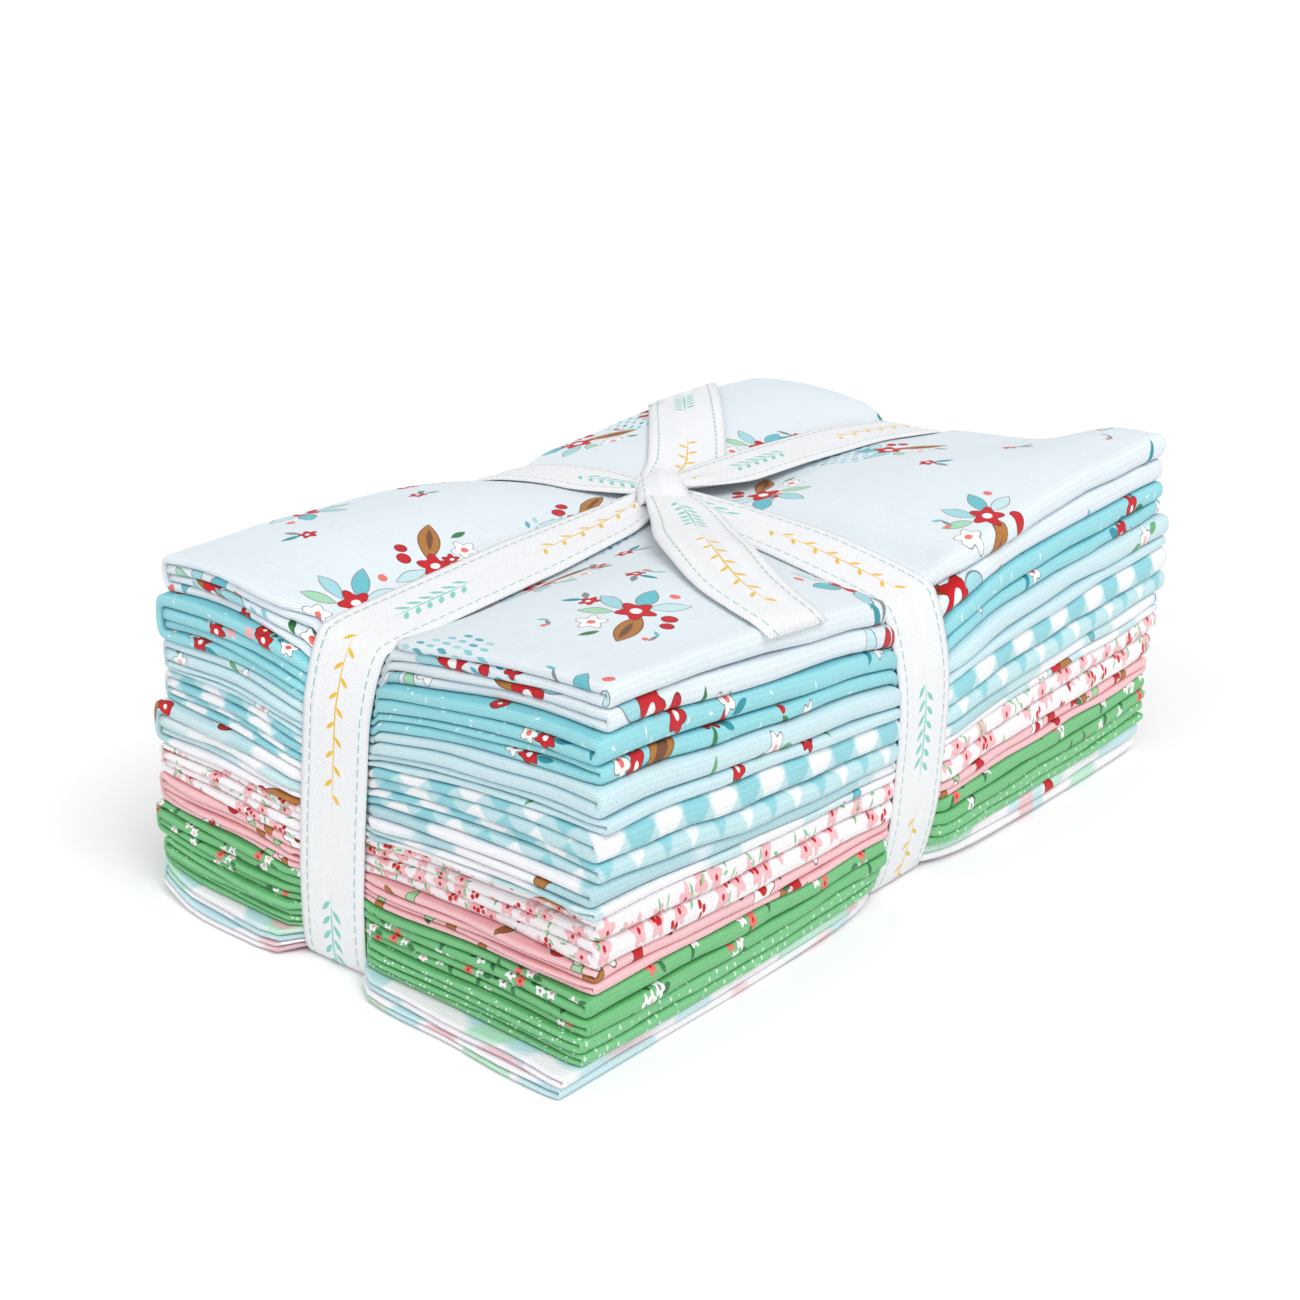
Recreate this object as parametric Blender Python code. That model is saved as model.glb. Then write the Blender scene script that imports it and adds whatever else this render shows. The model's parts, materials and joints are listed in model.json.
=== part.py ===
"""A fabric bundle: ten folded quilting cottons in a stack, tied crosswise with one ribbon.

Run with: blender --background --python part.py
+X is the length of the stack, +Y its width and +Z is up. The origin is the middle of the underside.
Each cotton is one strip in a book fold: two round folds face -Y, and the outer fold wraps them at +Y.
The tables are in millimetres, and MM turns them into Blender's metres.
"""

import math
from collections import namedtuple

import bmesh
import bpy

MM = 0.001

# Driving sizes, in millimetres
BAND_COUNT = 4
GAP = 0.35
BAND_WIDTH = 20.6
BAND_THICK = 1.0
BAND_GAP = 0.3
CROSS_X = 5.5
LENGTH_Y = 8.0
BAND_ZONE = BAND_WIDTH / 2 + 0.25
END_ROUND = 1.6
END_PINCH = 0.25
FREE_END_BACK = 0.4

# The stations along X and Y where the height tables give the stack's upper and lower surface.
STATIONS_X = (-122.0, -40.0, CROSS_X - BAND_ZONE, CROSS_X + BAND_ZONE, 52.0, 122.0)
STATIONS_Y = (-72.0, -28.0, LENGTH_Y - BAND_ZONE, LENGTH_Y + BAND_ZONE, 40.0, 72.0)

# One row for each station along X, one column for each station along Y. The ribbon presses the
# two pairs of middle stations in, and the four quarters between stay puffed up.
TOP_ROWS = (
    (86.5, 83.5, 74.5, 74.5, 83.0, 84.5),
    (82.0, 86.5, 81.4, 81.4, 86.8, 83.6),
    (75.5, 80.8, 82.6, 82.8, 82.2, 77.0),
    (75.5, 80.8, 82.6, 82.8, 82.2, 77.0),
    (86.0, 88.0, 82.7, 82.7, 88.3, 85.2),
    (92.5, 84.5, 82.2, 82.2, 87.0, 88.0),
)
UNDER_ROWS = (
    (0.0, 0.0, 2.6, 2.6, 0.0, 2.5),
    (0.0, 0.0, 3.2, 3.2, 0.0, 0.0),
    (3.6, 3.6, 3.5, 3.5, 3.8, 4.2),
    (3.6, 3.6, 3.5, 3.5, 3.8, 4.2),
    (0.0, 0.0, 3.6, 3.6, 0.0, 0.0),
    (0.0, 0.0, 3.8, 3.8, 0.0, 0.0),
)

# One row for each cotton, from the top down.
# front_x and left_x: where its -X end lies at the -Y corner and at the +Y corner.
# tied_x: where the ribbon holds that end. right_x: where its +X end lies.
# fold_y: its two round folds. tied_y: where the ribbon holds them. nose_y: its outer fold.
# left, front, right, back: its share of the stack's height at those corners, about its thickness.
# upper: the share of the upper pair of its four bands.
Cotton = namedtuple(
    "Cotton",
    "name front_x left_x tied_x right_x fold_y tied_y nose_y left front right back upper",
)
COTTONS = (
    Cotton("ice_floral", -106.1, -105.4, -103.5, 118.6, -70.0, -66.0, 69.5, 9.0, 8.6, 11.5, 9.5, 0.50),
    Cotton("aqua_sprig", -109.4, -107.6, -105.5, 119.6, -70.5, -68.5, 70.5, 12.0, 10.5, 8.9, 9.5, 0.57),
    Cotton("pale_aqua", -110.4, -107.6, -106.5, 120.6, -72.0, -70.0, 69.5, 8.0, 9.5, 9.3, 9.0, 0.64),
    Cotton("aqua_check", -110.8, -107.8, -107.5, 121.1, -72.0, -70.8, 70.5, 8.0, 10.5, 12.0, 9.5, 0.56),
    Cotton("white_cloud", -112.9, -109.6, -108.5, 119.6, -71.0, -71.0, 71.5, 10.8, 7.6, 8.4, 9.0, 0.60),
    Cotton("pink_ditsy", -110.0, -110.4, -109.5, 119.6, -71.0, -70.8, 69.5, 8.2, 12.8, 12.6, 9.5, 0.47),
    Cotton("rose", -112.0, -110.4, -110.5, 118.6, -70.0, -70.0, 71.0, 8.5, 6.8, 6.2, 8.5, 0.56),
    Cotton("green_floral", -113.4, -111.0, -111.0, 119.6, -70.5, -69.0, 72.5, 9.2, 8.6, 9.0, 9.0, 0.54),
    Cotton("green_dotted", -115.4, -112.0, -110.5, 119.6, -70.0, -67.0, 69.5, 7.0, 7.0, 6.8, 7.5, 0.56),
    Cotton("white_print", -121.1, -114.5, -110.0, 118.6, -69.0, -66.0, 67.5, 6.4, 6.2, 7.6, 7.0, 0.56),
)
# The cottons' ground colours, in the same order
COTTON_COLOURS = (
    "DCEEF4", "9FDDE4", "CBE9EC", "A9DDE4", "EEF4F6",
    "F8E4E6", "F4C3C6", "6DB983", "74C08B", "F3F1F4",
)
# How far the ribbon draws in the +X ends and the outer folds.
TIED_IN = 2.5

# The knot, and where the ribbon's four arms leave it.
KNOT_AT = (4.0, 9.0, 86.4)
KNOT_SIZE = (12.5, 11.0, 5.6)
KNOT_TURN = -40.0
KNOT_REACH = 7.0
SEAT_HEIGHT = 85.4
ARM_STEPS = (12.0, 20.0)
ARM_HALF_WIDTH_AT_KNOT = 4.4
# Where the back tail lies under the lengthwise arm and lifts it.
LIFTED_AT = (42.0, 84.9)

# One row for each place along a tail, from the knot: the x and y of its left and right edges, and
# how high their undersides lie over the stack's top surface. Past the outer fold it hangs down.
TailRow = namedtuple("TailRow", "left_x left_y left_lift right_x right_y right_lift")
TAIL_STEP = 4.5
FOLD_RADIUS = 2.2
HANG_ROUND = 4.9
TAILS = {
    "ribbon_tail_front": (
        TailRow(-7.0, 6.0, 4.2, 5.0, -2.0, 4.2),
        TailRow(-18.0, -6.5, 3.6, -3.5, -17.5, 3.6),
        TailRow(-33.0, -21.0, 2.0, -18.0, -36.5, 2.0),
        TailRow(-47.0, -39.0, 0.9, -27.5, -48.0, 1.0),
        TailRow(-53.0, -50.0, 0.7, -33.0, -58.0, 0.8),
        TailRow(-57.5, -69.0, 0.8, -37.5, -69.0, 0.9),
    ),
    "ribbon_tail_back": (
        TailRow(7.5, 17.0, 0.5, 12.5, 11.0, 0.5),
        TailRow(15.0, 25.5, 0.5, 26.0, 12.5, 0.5),
        TailRow(25.5, 32.0, 0.5, 38.5, 16.2, 0.5),
        TailRow(61.0, 61.5, 0.6, 75.0, 46.5, 0.6),
        TailRow(66.0, 65.5, 0.6, 97.0, 65.5, 0.6),
        TailRow(78.0, 75.0, 0.8, 109.0, 75.0, 0.8),
    ),
}

RIBBON_COLOUR = "F1F1EE"
CLOTH_ROUGHNESS = 0.9
RIBBON_ROUGHNESS = 0.8


def mix(a, b, share):
    """The point or number that lies the given share of the way from a to b."""
    if isinstance(a, (tuple, list)):
        return tuple(mix(one, other, share) for one, other in zip(a, b))
    return a + (b - a) * share


def cell(stations, value):
    """The index of the stretch of stations that holds value, and the share along it."""
    for index in range(len(stations) - 2):
        if value < stations[index + 1]:
            break
    else:
        index = len(stations) - 2
    low, high = stations[index], stations[index + 1]
    return index, (value - low) / (high - low)


def on_grid(rows, x, y):
    """Reads a table of heights between its stations, straight from one station to the next."""
    i, along = cell(STATIONS_X, x)
    j, across = cell(STATIONS_Y, y)
    near = mix(rows[i][j], rows[i][j + 1], across)
    far = mix(rows[i + 1][j], rows[i + 1][j + 1], across)
    return mix(near, far, along)


def corner_value(cotton, x, y):
    """The cotton's share of the height at (x, y), from its shares at the four corners."""
    along = (x - STATIONS_X[0]) / (STATIONS_X[-1] - STATIONS_X[0])
    across = (y - STATIONS_Y[0]) / (STATIONS_Y[-1] - STATIONS_Y[0])
    return mix(
        mix(cotton.front, cotton.left, across), mix(cotton.right, cotton.back, across), along
    )


def make_levels():
    """A table of heights for each face between two bands, from the stack's top to its underside."""
    count = len(COTTONS) * BAND_COUNT + 1
    levels = [[[0.0] * len(STATIONS_Y) for _ in STATIONS_X] for _ in range(count)]
    for i, x in enumerate(STATIONS_X):
        for j, y in enumerate(STATIONS_Y):
            shares = [corner_value(cotton, x, y) for cotton in COTTONS]
            high, low = TOP_ROWS[i][j], UNDER_ROWS[i][j]
            passed = 0.0
            level = 0
            for cotton, share in zip(COTTONS, shares):
                over, under = cotton.upper / 2, (1 - cotton.upper) / 2
                for part in (over, over, under, under):
                    levels[level][i][j] = mix(high, low, passed / sum(shares))
                    passed += share * part
                    level += 1
            levels[level][i][j] = low
    return levels


LEVELS = make_levels()


def face_height(level, x, y, side):
    """The height of a band's face: half a gap away from the level it shares with the next band."""
    inner = 0 < level < len(LEVELS) - 1
    return on_grid(LEVELS[level], x, y) + side * (GAP / 2 if inner else 0.0)


def drawn_in(stations, value, free, tied):
    """A size that is tied under the ribbon, and free from the stations on both sides of it."""
    if value < stations[2]:
        return mix(free, tied, max(value - stations[1], 0.0) / (stations[2] - stations[1]))
    if value > stations[3]:
        return mix(free, tied, max(stations[4] - value, 0.0) / (stations[4] - stations[3]))
    return tied


def end_x(cotton, end, y):
    """Where the cotton's end lies at y: end is -1 for the -X end and 1 for the +X end."""
    if end > 0:
        return drawn_in(STATIONS_Y, y, cotton.right_x, cotton.right_x - TIED_IN)
    across = (y - cotton.fold_y) / (cotton.nose_y - cotton.fold_y)
    return drawn_in(STATIONS_Y, y, mix(cotton.front_x, cotton.left_x, across), cotton.tied_x)


def edge_y(cotton, side, x):
    """Where the cotton's folds lie at x: side is -1 for the round folds and 1 for the outer fold."""
    if side > 0:
        return drawn_in(STATIONS_X, x, cotton.nose_y, cotton.nose_y - TIED_IN)
    return drawn_in(STATIONS_X, x, cotton.fold_y, cotton.tied_y)


def band_faces(number, band, x, y):
    """Heights of the upper and the lower face of one band of one cotton at (x, y)."""
    level = number * BAND_COUNT + band
    return face_height(level, x, y, -1), face_height(level + 1, x, y, 1)


def arc(centre, radius, start, stop, steps):
    """Points on a circle in the YZ plane, from the start angle to the stop angle, in degrees."""
    points = []
    for step in range(steps + 1):
        angle = math.radians(mix(start, stop, step / steps))
        points.append((centre[0] + radius * math.cos(angle), centre[1] + radius * math.sin(angle)))
    return points


def fold_pairs(number, upper, lower, x_at, side, steps):
    """Pairs of outer and inner points round one fold, from the upper band to the lower band.

    side is -1 where the fold bulges towards -Y and 1 where it bulges towards +Y.
    """
    outermost = edge_y(COTTONS[number], side, x_at(0.0))
    x = x_at(outermost)
    top = band_faces(number, upper, x, outermost)
    under = band_faces(number, lower, x, outermost)
    radius = (top[0] - under[1]) / 2
    inner_radius = (top[1] - under[0]) / 2
    middle = (top[0] + under[1]) / 2
    centre_y = outermost - side * radius
    outer = arc((centre_y, middle), radius, 90.0, 90.0 - side * 180.0, steps)
    inner = arc((centre_y, (top[1] + under[0]) / 2), inner_radius, 90.0, 90.0 - side * 180.0, steps)
    return list(zip(outer, inner))


def section(number, x_at):
    """Pairs of outer and inner points along the folded strip, from one free end to the other.

    The strip runs along band 2 to its fold, back along band 1, round the nose, along band 4
    to its fold, and back along band 3. x_at gives x for each y, since an end may lie askew.
    """
    middle_y = STATIONS_Y[1:-1]
    upper_fold = fold_pairs(number, 0, 1, x_at, -1, 4)
    lower_fold = fold_pairs(number, 2, 3, x_at, -1, 4)
    nose = fold_pairs(number, 0, 3, x_at, 1, 5)
    free_y = nose[0][0][0] + FREE_END_BACK

    def flat(band, y, outer_is_upper):
        upper, lower = band_faces(number, band, x_at(y), y)
        pair = ((y, upper), (y, lower))
        return pair if outer_is_upper else pair[::-1]

    pairs = [flat(1, y, False) for y in (free_y, *reversed(middle_y))]
    pairs += reversed(upper_fold)
    pairs += [flat(0, y, True) for y in middle_y]
    pairs += nose
    pairs += [flat(3, y, False) for y in reversed(middle_y)]
    pairs += reversed(lower_fold)
    pairs += [flat(2, y, True) for y in (*middle_y, free_y)]
    return pairs


def outline(pairs, pinch):
    """The closed outline of the folded strip, its two faces drawn in by the pinch share."""
    outer = [mix(one, other, pinch) for one, other in pairs]
    inner = [mix(other, one, pinch) for one, other in pairs]
    return outer + inner[::-1]


def new_object(name, colour, roughness):
    """An empty mesh object with its own material, in the collection of the bundle."""
    mesh = bpy.data.meshes.new(name)
    thing = bpy.data.objects.new(name, mesh)
    bpy.data.collections[COLLECTION].objects.link(thing)
    material = bpy.data.materials.new(name)
    material.use_nodes = True
    shader = material.node_tree.nodes["Principled BSDF"]
    values = [int(colour[i : i + 2], 16) / 255 for i in (0, 2, 4)]
    linear = [v / 12.92 if v <= 0.04045 else ((v + 0.055) / 1.055) ** 2.4 for v in values]
    shader.inputs["Base Color"].default_value = (*linear, 1.0)
    shader.inputs["Roughness"].default_value = roughness
    material.diffuse_color = (*linear, 1.0)
    mesh.materials.append(material)
    return thing


def loft(thing, rings, split_along):
    """Skins a row of rings with equal numbers of points, and closes both ends.

    split_along(point, next_point) says which way a quad is split, so that faces which lie on
    each other are split alike.
    """
    work = bmesh.new()
    rows = [[work.verts.new([value * MM for value in point]) for point in ring] for ring in rings]
    count = len(rows[0])
    for near, far in zip(rows, rows[1:]):
        for index in range(count):
            other = (index + 1) % count
            a, b, c, d = near[index], near[other], far[other], far[index]
            if split_along(a.co, b.co):
                work.faces.new((a, b, c))
                work.faces.new((a, c, d))
            else:
                work.faces.new((a, b, d))
                work.faces.new((b, c, d))
    for row in (rows[0], rows[-1]):
        half = count // 2
        for index in range(half - 1):
            a, b = row[index], row[index + 1]
            c, d = row[count - 2 - index], row[count - 1 - index]
            work.faces.new((a, b, c, d))
    bmesh.ops.recalc_face_normals(work, faces=work.faces)
    work.to_mesh(thing.data)
    work.free()


def make_cotton(number):
    """One cotton: its folded section carried along X, with its ends drawn in."""
    cotton = COTTONS[number]
    rings = []

    def add_ring(x_at, pinch):
        rings.append([(x_at(y), y, z) for y, z in outline(section(number, x_at), pinch)])

    add_ring(lambda y: end_x(cotton, -1, y), END_PINCH)
    add_ring(lambda y: end_x(cotton, -1, y) + END_ROUND, 0.0)
    for x in STATIONS_X[1:-1]:
        add_ring(lambda y, x=x: x, 0.0)
    add_ring(lambda y: end_x(cotton, 1, y) - END_ROUND, 0.0)
    add_ring(lambda y: end_x(cotton, 1, y), END_PINCH)
    name = f"cloth_{number + 1:02d}_{cotton.name}"
    thing = new_object(name, COTTON_COLOURS[number], CLOTH_ROUGHNESS)
    loft(thing, rings, lambda a, b: b.y > a.y)
    return thing


def hull(points):
    """The convex outline round 2D points, anticlockwise."""
    points = sorted(set(points))

    def half(row):
        kept = []
        for point in row:
            while len(kept) > 1 and turn(kept[-2], kept[-1], point) <= 0:
                kept.pop()
            kept.append(point)
        return kept[:-1]

    return half(points) + half(reversed(points))


def turn(a, b, c):
    """Above zero where the path a, b, c turns left."""
    return (b[0] - a[0]) * (c[1] - a[1]) - (b[1] - a[1]) * (c[0] - a[0])


def stack_profile(along_x, zone):
    """Points of the stack's outline where a band crosses it, as (distance, height) pairs."""
    points = []
    stations = STATIONS_X if along_x else STATIONS_Y
    for place in stations[1:-1]:
        for other in zone:
            x, y = (place, other) if along_x else (other, place)
            points.append((place, face_height(0, x, y, 0)))
            points.append((place, face_height(len(LEVELS) - 1, x, y, 0)))
    for number, cotton in enumerate(COTTONS):
        for other in zone:
            if along_x:
                for end in (-1, 1):
                    x = end_x(cotton, end, other)
                    faces = [band_faces(number, band, x, other) for band in (0, BAND_COUNT - 1)]
                    top, under = faces[0][0], faces[1][1]
                    points += [(x, mix(top, under, END_PINCH / BAND_COUNT)), (x, under + END_PINCH)]
                    points += [(x - end * END_ROUND, top), (x - end * END_ROUND, under)]
            else:
                for upper, lower, side in ((0, 1, -1), (2, 3, -1), (0, 3, 1)):
                    pairs = fold_pairs(number, upper, lower, lambda y: other, side, 4)
                    points += [outer for outer, inner in pairs]
    return points


def band_route(points, centre):
    """The taut route round the stack from one side of the knot to the other, with its normals.

    It follows the convex outline of the points, and turns a sharp corner on two normals.
    """
    seats = [(centre - KNOT_REACH, SEAT_HEIGHT), (centre + KNOT_REACH, SEAT_HEIGHT)]
    ring = hull([*points, *seats])
    first = ring.index(seats[0])
    ring = ring[first:] + ring[:first]
    normals = []
    for index, point in enumerate(ring):
        following = ring[(index + 1) % len(ring)]
        length = math.dist(point, following)
        normals.append(((following[1] - point[1]) / length, (point[0] - following[0]) / length))
    route = [(ring[0], normals[0])]
    for index in range(1, len(ring) - 1):
        before, after = normals[index - 1], normals[index]
        cosine = before[0] * after[0] + before[1] * after[1]
        if cosine < math.cos(math.radians(25.0)):
            route += [(ring[index], before), (ring[index], after)]
        else:
            middle = (before[0] + after[0], before[1] + after[1])
            size = math.hypot(*middle)
            route.append((ring[index], (middle[0] / size, middle[1] / size)))
    route.append((ring[-1], normals[-2]))
    return route


def with_arm_steps(route, centre):
    """Adds the places where an arm's width changes to both ends of a route."""
    for _ in range(2):
        (near, normal), (far, _far_normal) = route[0], route[1]
        reach = abs(far[0] - centre)
        steps = []
        for distance in ARM_STEPS:
            if distance < reach:
                share = (distance - KNOT_REACH) / (reach - KNOT_REACH)
                steps.append((mix(near, far, share), normal))
        route = [route[0], *steps, *route[1:]][::-1]
    return route


def underside(route, place):
    """The height of a turn's inner face where it passes under the stack at a place along it."""
    points = [point for point, normal in route if normal[1] < 0]
    for near, far in zip(points, points[1:]):
        if min(near[0], far[0]) <= place <= max(near[0], far[0]):
            return mix(near[1], far[1], (place - near[0]) / (far[0] - near[0]))
    return points[0][1]


def arm_half_width(distance):
    """Half the ribbon's width at a distance from the knot, where it is gathered."""
    share = (distance - KNOT_REACH) / (ARM_STEPS[-1] - KNOT_REACH)
    return mix(ARM_HALF_WIDTH_AT_KNOT, BAND_WIDTH / 2, min(max(share, 0.0), 1.0))


def make_band(name, along_x, extra):
    """One turn of ribbon round the stack, as a flat strip on its taut route, which it returns."""
    centre, across = (KNOT_AT[0], LENGTH_Y) if along_x else (KNOT_AT[1], CROSS_X)
    zone = (across - BAND_WIDTH / 2, across + BAND_WIDTH / 2)
    turn_route = band_route(stack_profile(along_x, zone) + extra, centre)
    route = with_arm_steps(turn_route, centre)
    rings = []
    for point, normal in route:
        on_top = normal[1] > 0.5
        half = arm_half_width(abs(point[0] - centre)) if on_top else BAND_WIDTH / 2
        ring = []
        for side, lift in ((-1, 0), (1, 0), (1, 1), (-1, 1)):
            away = BAND_GAP + lift * BAND_THICK
            place = (point[0] + normal[0] * away, point[1] + normal[1] * away)
            other = across + side * half
            ring.append((place[0], other, place[1]) if along_x else (other, place[0], place[1]))
        rings.append(ring)
    thing = new_object(name, RIBBON_COLOUR, RIBBON_ROUGHNESS)
    loft(thing, rings, lambda a, b: True)
    return turn_route


def make_knot():
    """The knot: a rounded pillow with a waist where the upper turn crosses it."""
    thing = new_object("ribbon_knot", RIBBON_COLOUR, RIBBON_ROUGHNESS)
    work = bmesh.new()
    bmesh.ops.create_uvsphere(work, u_segments=14, v_segments=8, radius=0.5)
    for vert in work.verts:
        waist = 1.0 - 0.16 * math.exp(-((vert.co.x / 0.16) ** 2)) * abs(vert.co.y) * 2
        vert.co.y *= waist
        vert.co.z = math.copysign(abs(vert.co.z * 2) ** 0.8 / 2, vert.co.z)
    work.to_mesh(thing.data)
    work.free()
    thing.scale = [size * MM for size in KNOT_SIZE]
    thing.location = [value * MM for value in KNOT_AT]
    thing.rotation_euler = (0.0, 0.0, math.radians(KNOT_TURN))
    return thing


def on_facets(x, y):
    """The height of the top cotton's face, whose cells are each split along a diagonal."""
    cotton = COTTONS[0]
    grid_x = (cotton.left_x + END_ROUND, *STATIONS_X[1:-1], cotton.right_x - END_ROUND)
    grid_y = (cotton.fold_y + FOLD_RADIUS, *STATIONS_Y[1:-1], cotton.nose_y - HANG_ROUND)
    i, along = cell(grid_x, x)
    j, across = cell(grid_y, y)
    near = on_grid(TOP_ROWS, grid_x[i], grid_y[j])
    side = on_grid(TOP_ROWS, grid_x[i], grid_y[j + 1])
    ahead = on_grid(TOP_ROWS, grid_x[i + 1], grid_y[j])
    far = on_grid(TOP_ROWS, grid_x[i + 1], grid_y[j + 1])
    twist = near + far - side - ahead
    return near + (ahead - near) * along + (side - near) * across + twist * min(along, across)


def draped(x, y, lift):
    """A point that lies on the top cotton or hangs over its outer fold, and its normal."""
    start = COTTONS[0].nose_y - HANG_ROUND
    past = (y - start) / HANG_ROUND
    height = on_facets(x, min(y, start)) + lift
    if past <= 0:
        return (x, y, height), (0.0, 0.0, 1.0)
    angle = min(past, math.pi / 2)
    straight = max(past - math.pi / 2, 0.0)
    out = start + (HANG_ROUND + lift) * math.sin(angle)
    down = height - (HANG_ROUND + lift) * (1 - math.cos(angle)) - straight * HANG_ROUND
    return (x, out, down), (0.0, math.sin(angle), math.cos(angle))


def tail_rows(rows):
    """Rows along a tail, at most TAIL_STEP apart."""
    dense = []
    for near, far in zip(rows, rows[1:]):
        length = math.hypot(far.left_x - near.left_x, far.left_y - near.left_y)
        steps = math.ceil(length / TAIL_STEP)
        dense += [mix(near, far, step / steps) for step in range(steps)]
    return [TailRow(*row) for row in (*dense, rows[-1])]


def make_tail(name):
    """One free end of the ribbon, which lies down from the knot onto the top cotton."""
    rings = []
    for row in tail_rows(TAILS[name]):
        under, over = [], []
        for share in (0.0, 0.25, 0.5, 0.75, 1.0):
            x, y = mix((row.left_x, row.left_y), (row.right_x, row.right_y), share)
            point, normal = draped(x, y, mix(row.left_lift, row.right_lift, share))
            under.append(point)
            over.append(tuple(value + BAND_THICK * part for value, part in zip(point, normal)))
        rings.append(under + over[::-1])
    thing = new_object(name, RIBBON_COLOUR, RIBBON_ROUGHNESS)
    loft(thing, rings, lambda a, b: True)
    return thing


COLLECTION = "fabric_bundle"


def main():
    for thing in list(bpy.data.objects):
        bpy.data.objects.remove(thing, do_unlink=True)
    bpy.context.scene.collection.children.link(bpy.data.collections.new(COLLECTION))
    for number in range(len(COTTONS)):
        make_cotton(number)
    first_turn = make_band("ribbon_lengthwise", True, [LIFTED_AT])
    edges = (CROSS_X - BAND_WIDTH / 2, CROSS_X + BAND_WIDTH / 2)
    below = min(underside(first_turn, x) for x in edges) - BAND_GAP - BAND_THICK
    zone = (LENGTH_Y - BAND_WIDTH / 2 - 1.0, LENGTH_Y + BAND_WIDTH / 2 + 1.0)
    make_band("ribbon_crosswise", False, [(y, below) for y in zone])
    make_knot()
    for name in TAILS:
        make_tail(name)


main()
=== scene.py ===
"""Fabric bundle: ten folded quilting cottons in a stack, tied crosswise with one twill ribbon.

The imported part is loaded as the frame, and each operator makes one group of pieces in its place.
The tables are in millimetres, and MM turns them into Blender's metres.
"""

import json
import math
from collections import namedtuple

import bpy
import numpy as np
from bpy.props import FloatProperty, FloatVectorProperty, PointerProperty
from mathutils import Matrix, Vector

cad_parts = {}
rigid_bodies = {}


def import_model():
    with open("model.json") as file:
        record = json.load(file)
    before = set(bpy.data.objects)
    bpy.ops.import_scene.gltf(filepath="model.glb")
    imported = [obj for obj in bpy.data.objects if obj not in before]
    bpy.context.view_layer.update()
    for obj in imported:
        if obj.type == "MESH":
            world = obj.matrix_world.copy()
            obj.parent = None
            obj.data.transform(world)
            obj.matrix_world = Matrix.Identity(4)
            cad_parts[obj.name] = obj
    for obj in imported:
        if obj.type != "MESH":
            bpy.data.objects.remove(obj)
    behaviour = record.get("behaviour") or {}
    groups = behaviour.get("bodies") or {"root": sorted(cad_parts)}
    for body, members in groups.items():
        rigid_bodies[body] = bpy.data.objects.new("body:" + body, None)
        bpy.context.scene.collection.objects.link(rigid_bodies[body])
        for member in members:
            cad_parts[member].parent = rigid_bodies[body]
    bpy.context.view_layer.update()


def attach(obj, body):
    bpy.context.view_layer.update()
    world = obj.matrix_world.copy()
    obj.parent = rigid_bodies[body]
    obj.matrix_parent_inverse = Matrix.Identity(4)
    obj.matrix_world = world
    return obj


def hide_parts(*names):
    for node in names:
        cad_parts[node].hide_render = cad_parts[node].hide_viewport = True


bl_info = {
    "name": "Fabric bundle",
    "version": (1, 0, 0),
    "blender": (4, 5, 0),
    "location": "View3D > Sidebar > Fabric bundle",
    "description": "Makes a tied stack of folded quilting cottons, with its ribbon and a plain stage",
    "category": "Add Mesh",
}

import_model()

MM = 0.001
COLLECTION = "fabric_bundle"

# Where the ribbon's two turns lie, and the places along X and Y where the tables give heights
CROSS_X = 5.5
LENGTH_Y = 8.0
STATIONS_X = (-122.0, -92.0, -60.0, -25.0, 5.5, 35.0, 65.0, 95.0, 122.0)
STATIONS_Y = (-72.0, -54.0, -34.0, 8.0, 42.0, 72.0)

# The stack's top before the ribbon presses it, a row for each place along X
PUFFED = (
    (83.0, 82.8, 81.2, 76.0, 82.4, 81.2),
    (84.9, 85.3, 84.6, 79.0, 84.9, 83.8),
    (82.1, 85.5, 87.2, 81.0, 87.4, 83.9),
    (79.0, 82.9, 85.4, 83.0, 86.6, 83.0),
    (76.7, 77.9, 81.0, 83.4, 84.4, 79.4),
    (84.0, 85.8, 86.4, 84.2, 87.2, 82.6),
    (88.0, 89.8, 89.2, 84.0, 90.0, 86.2),
    (90.4, 90.6, 87.4, 84.0, 89.8, 87.4),
    (92.2, 91.4, 84.2, 83.4, 88.6, 88.0),
)
# The top under the ribbon: the height at each place along the turn
LENGTHWISE_TOP = (
    (-122.0, 71.5), (-105.0, 73.4), (-98.0, 74.6), (-90.0, 75.5), (-80.0, 76.4), (-62.0, 78.0),
    (-42.0, 79.7), (-28.0, 81.0), (-9.0, 82.5), (5.0, 83.0), (26.0, 83.0), (42.0, 83.8), (60.0, 84.8),
    (84.0, 84.8), (99.0, 83.4), (122.0, 80.8),
)
CROSSWISE_TOP = (
    (-72.0, 70.4), (-66.6, 71.8), (-59.5, 73.8), (-50.0, 76.2), (-38.0, 78.5),
    (-26.0, 80.3), (-9.0, 81.8), (9.0, 82.9), (26.0, 83.5), (41.0, 83.6), (55.0, 82.2), (62.0, 80.8),
    (66.5, 79.8), (72.0, 78.6),
)
# For the lengthwise and the crosswise turn: how much higher its far edge lies than its near one,
# and up to where along it
TURN_TILTS = ((2.2, -20.0), (1.8, -12.0))
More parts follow.
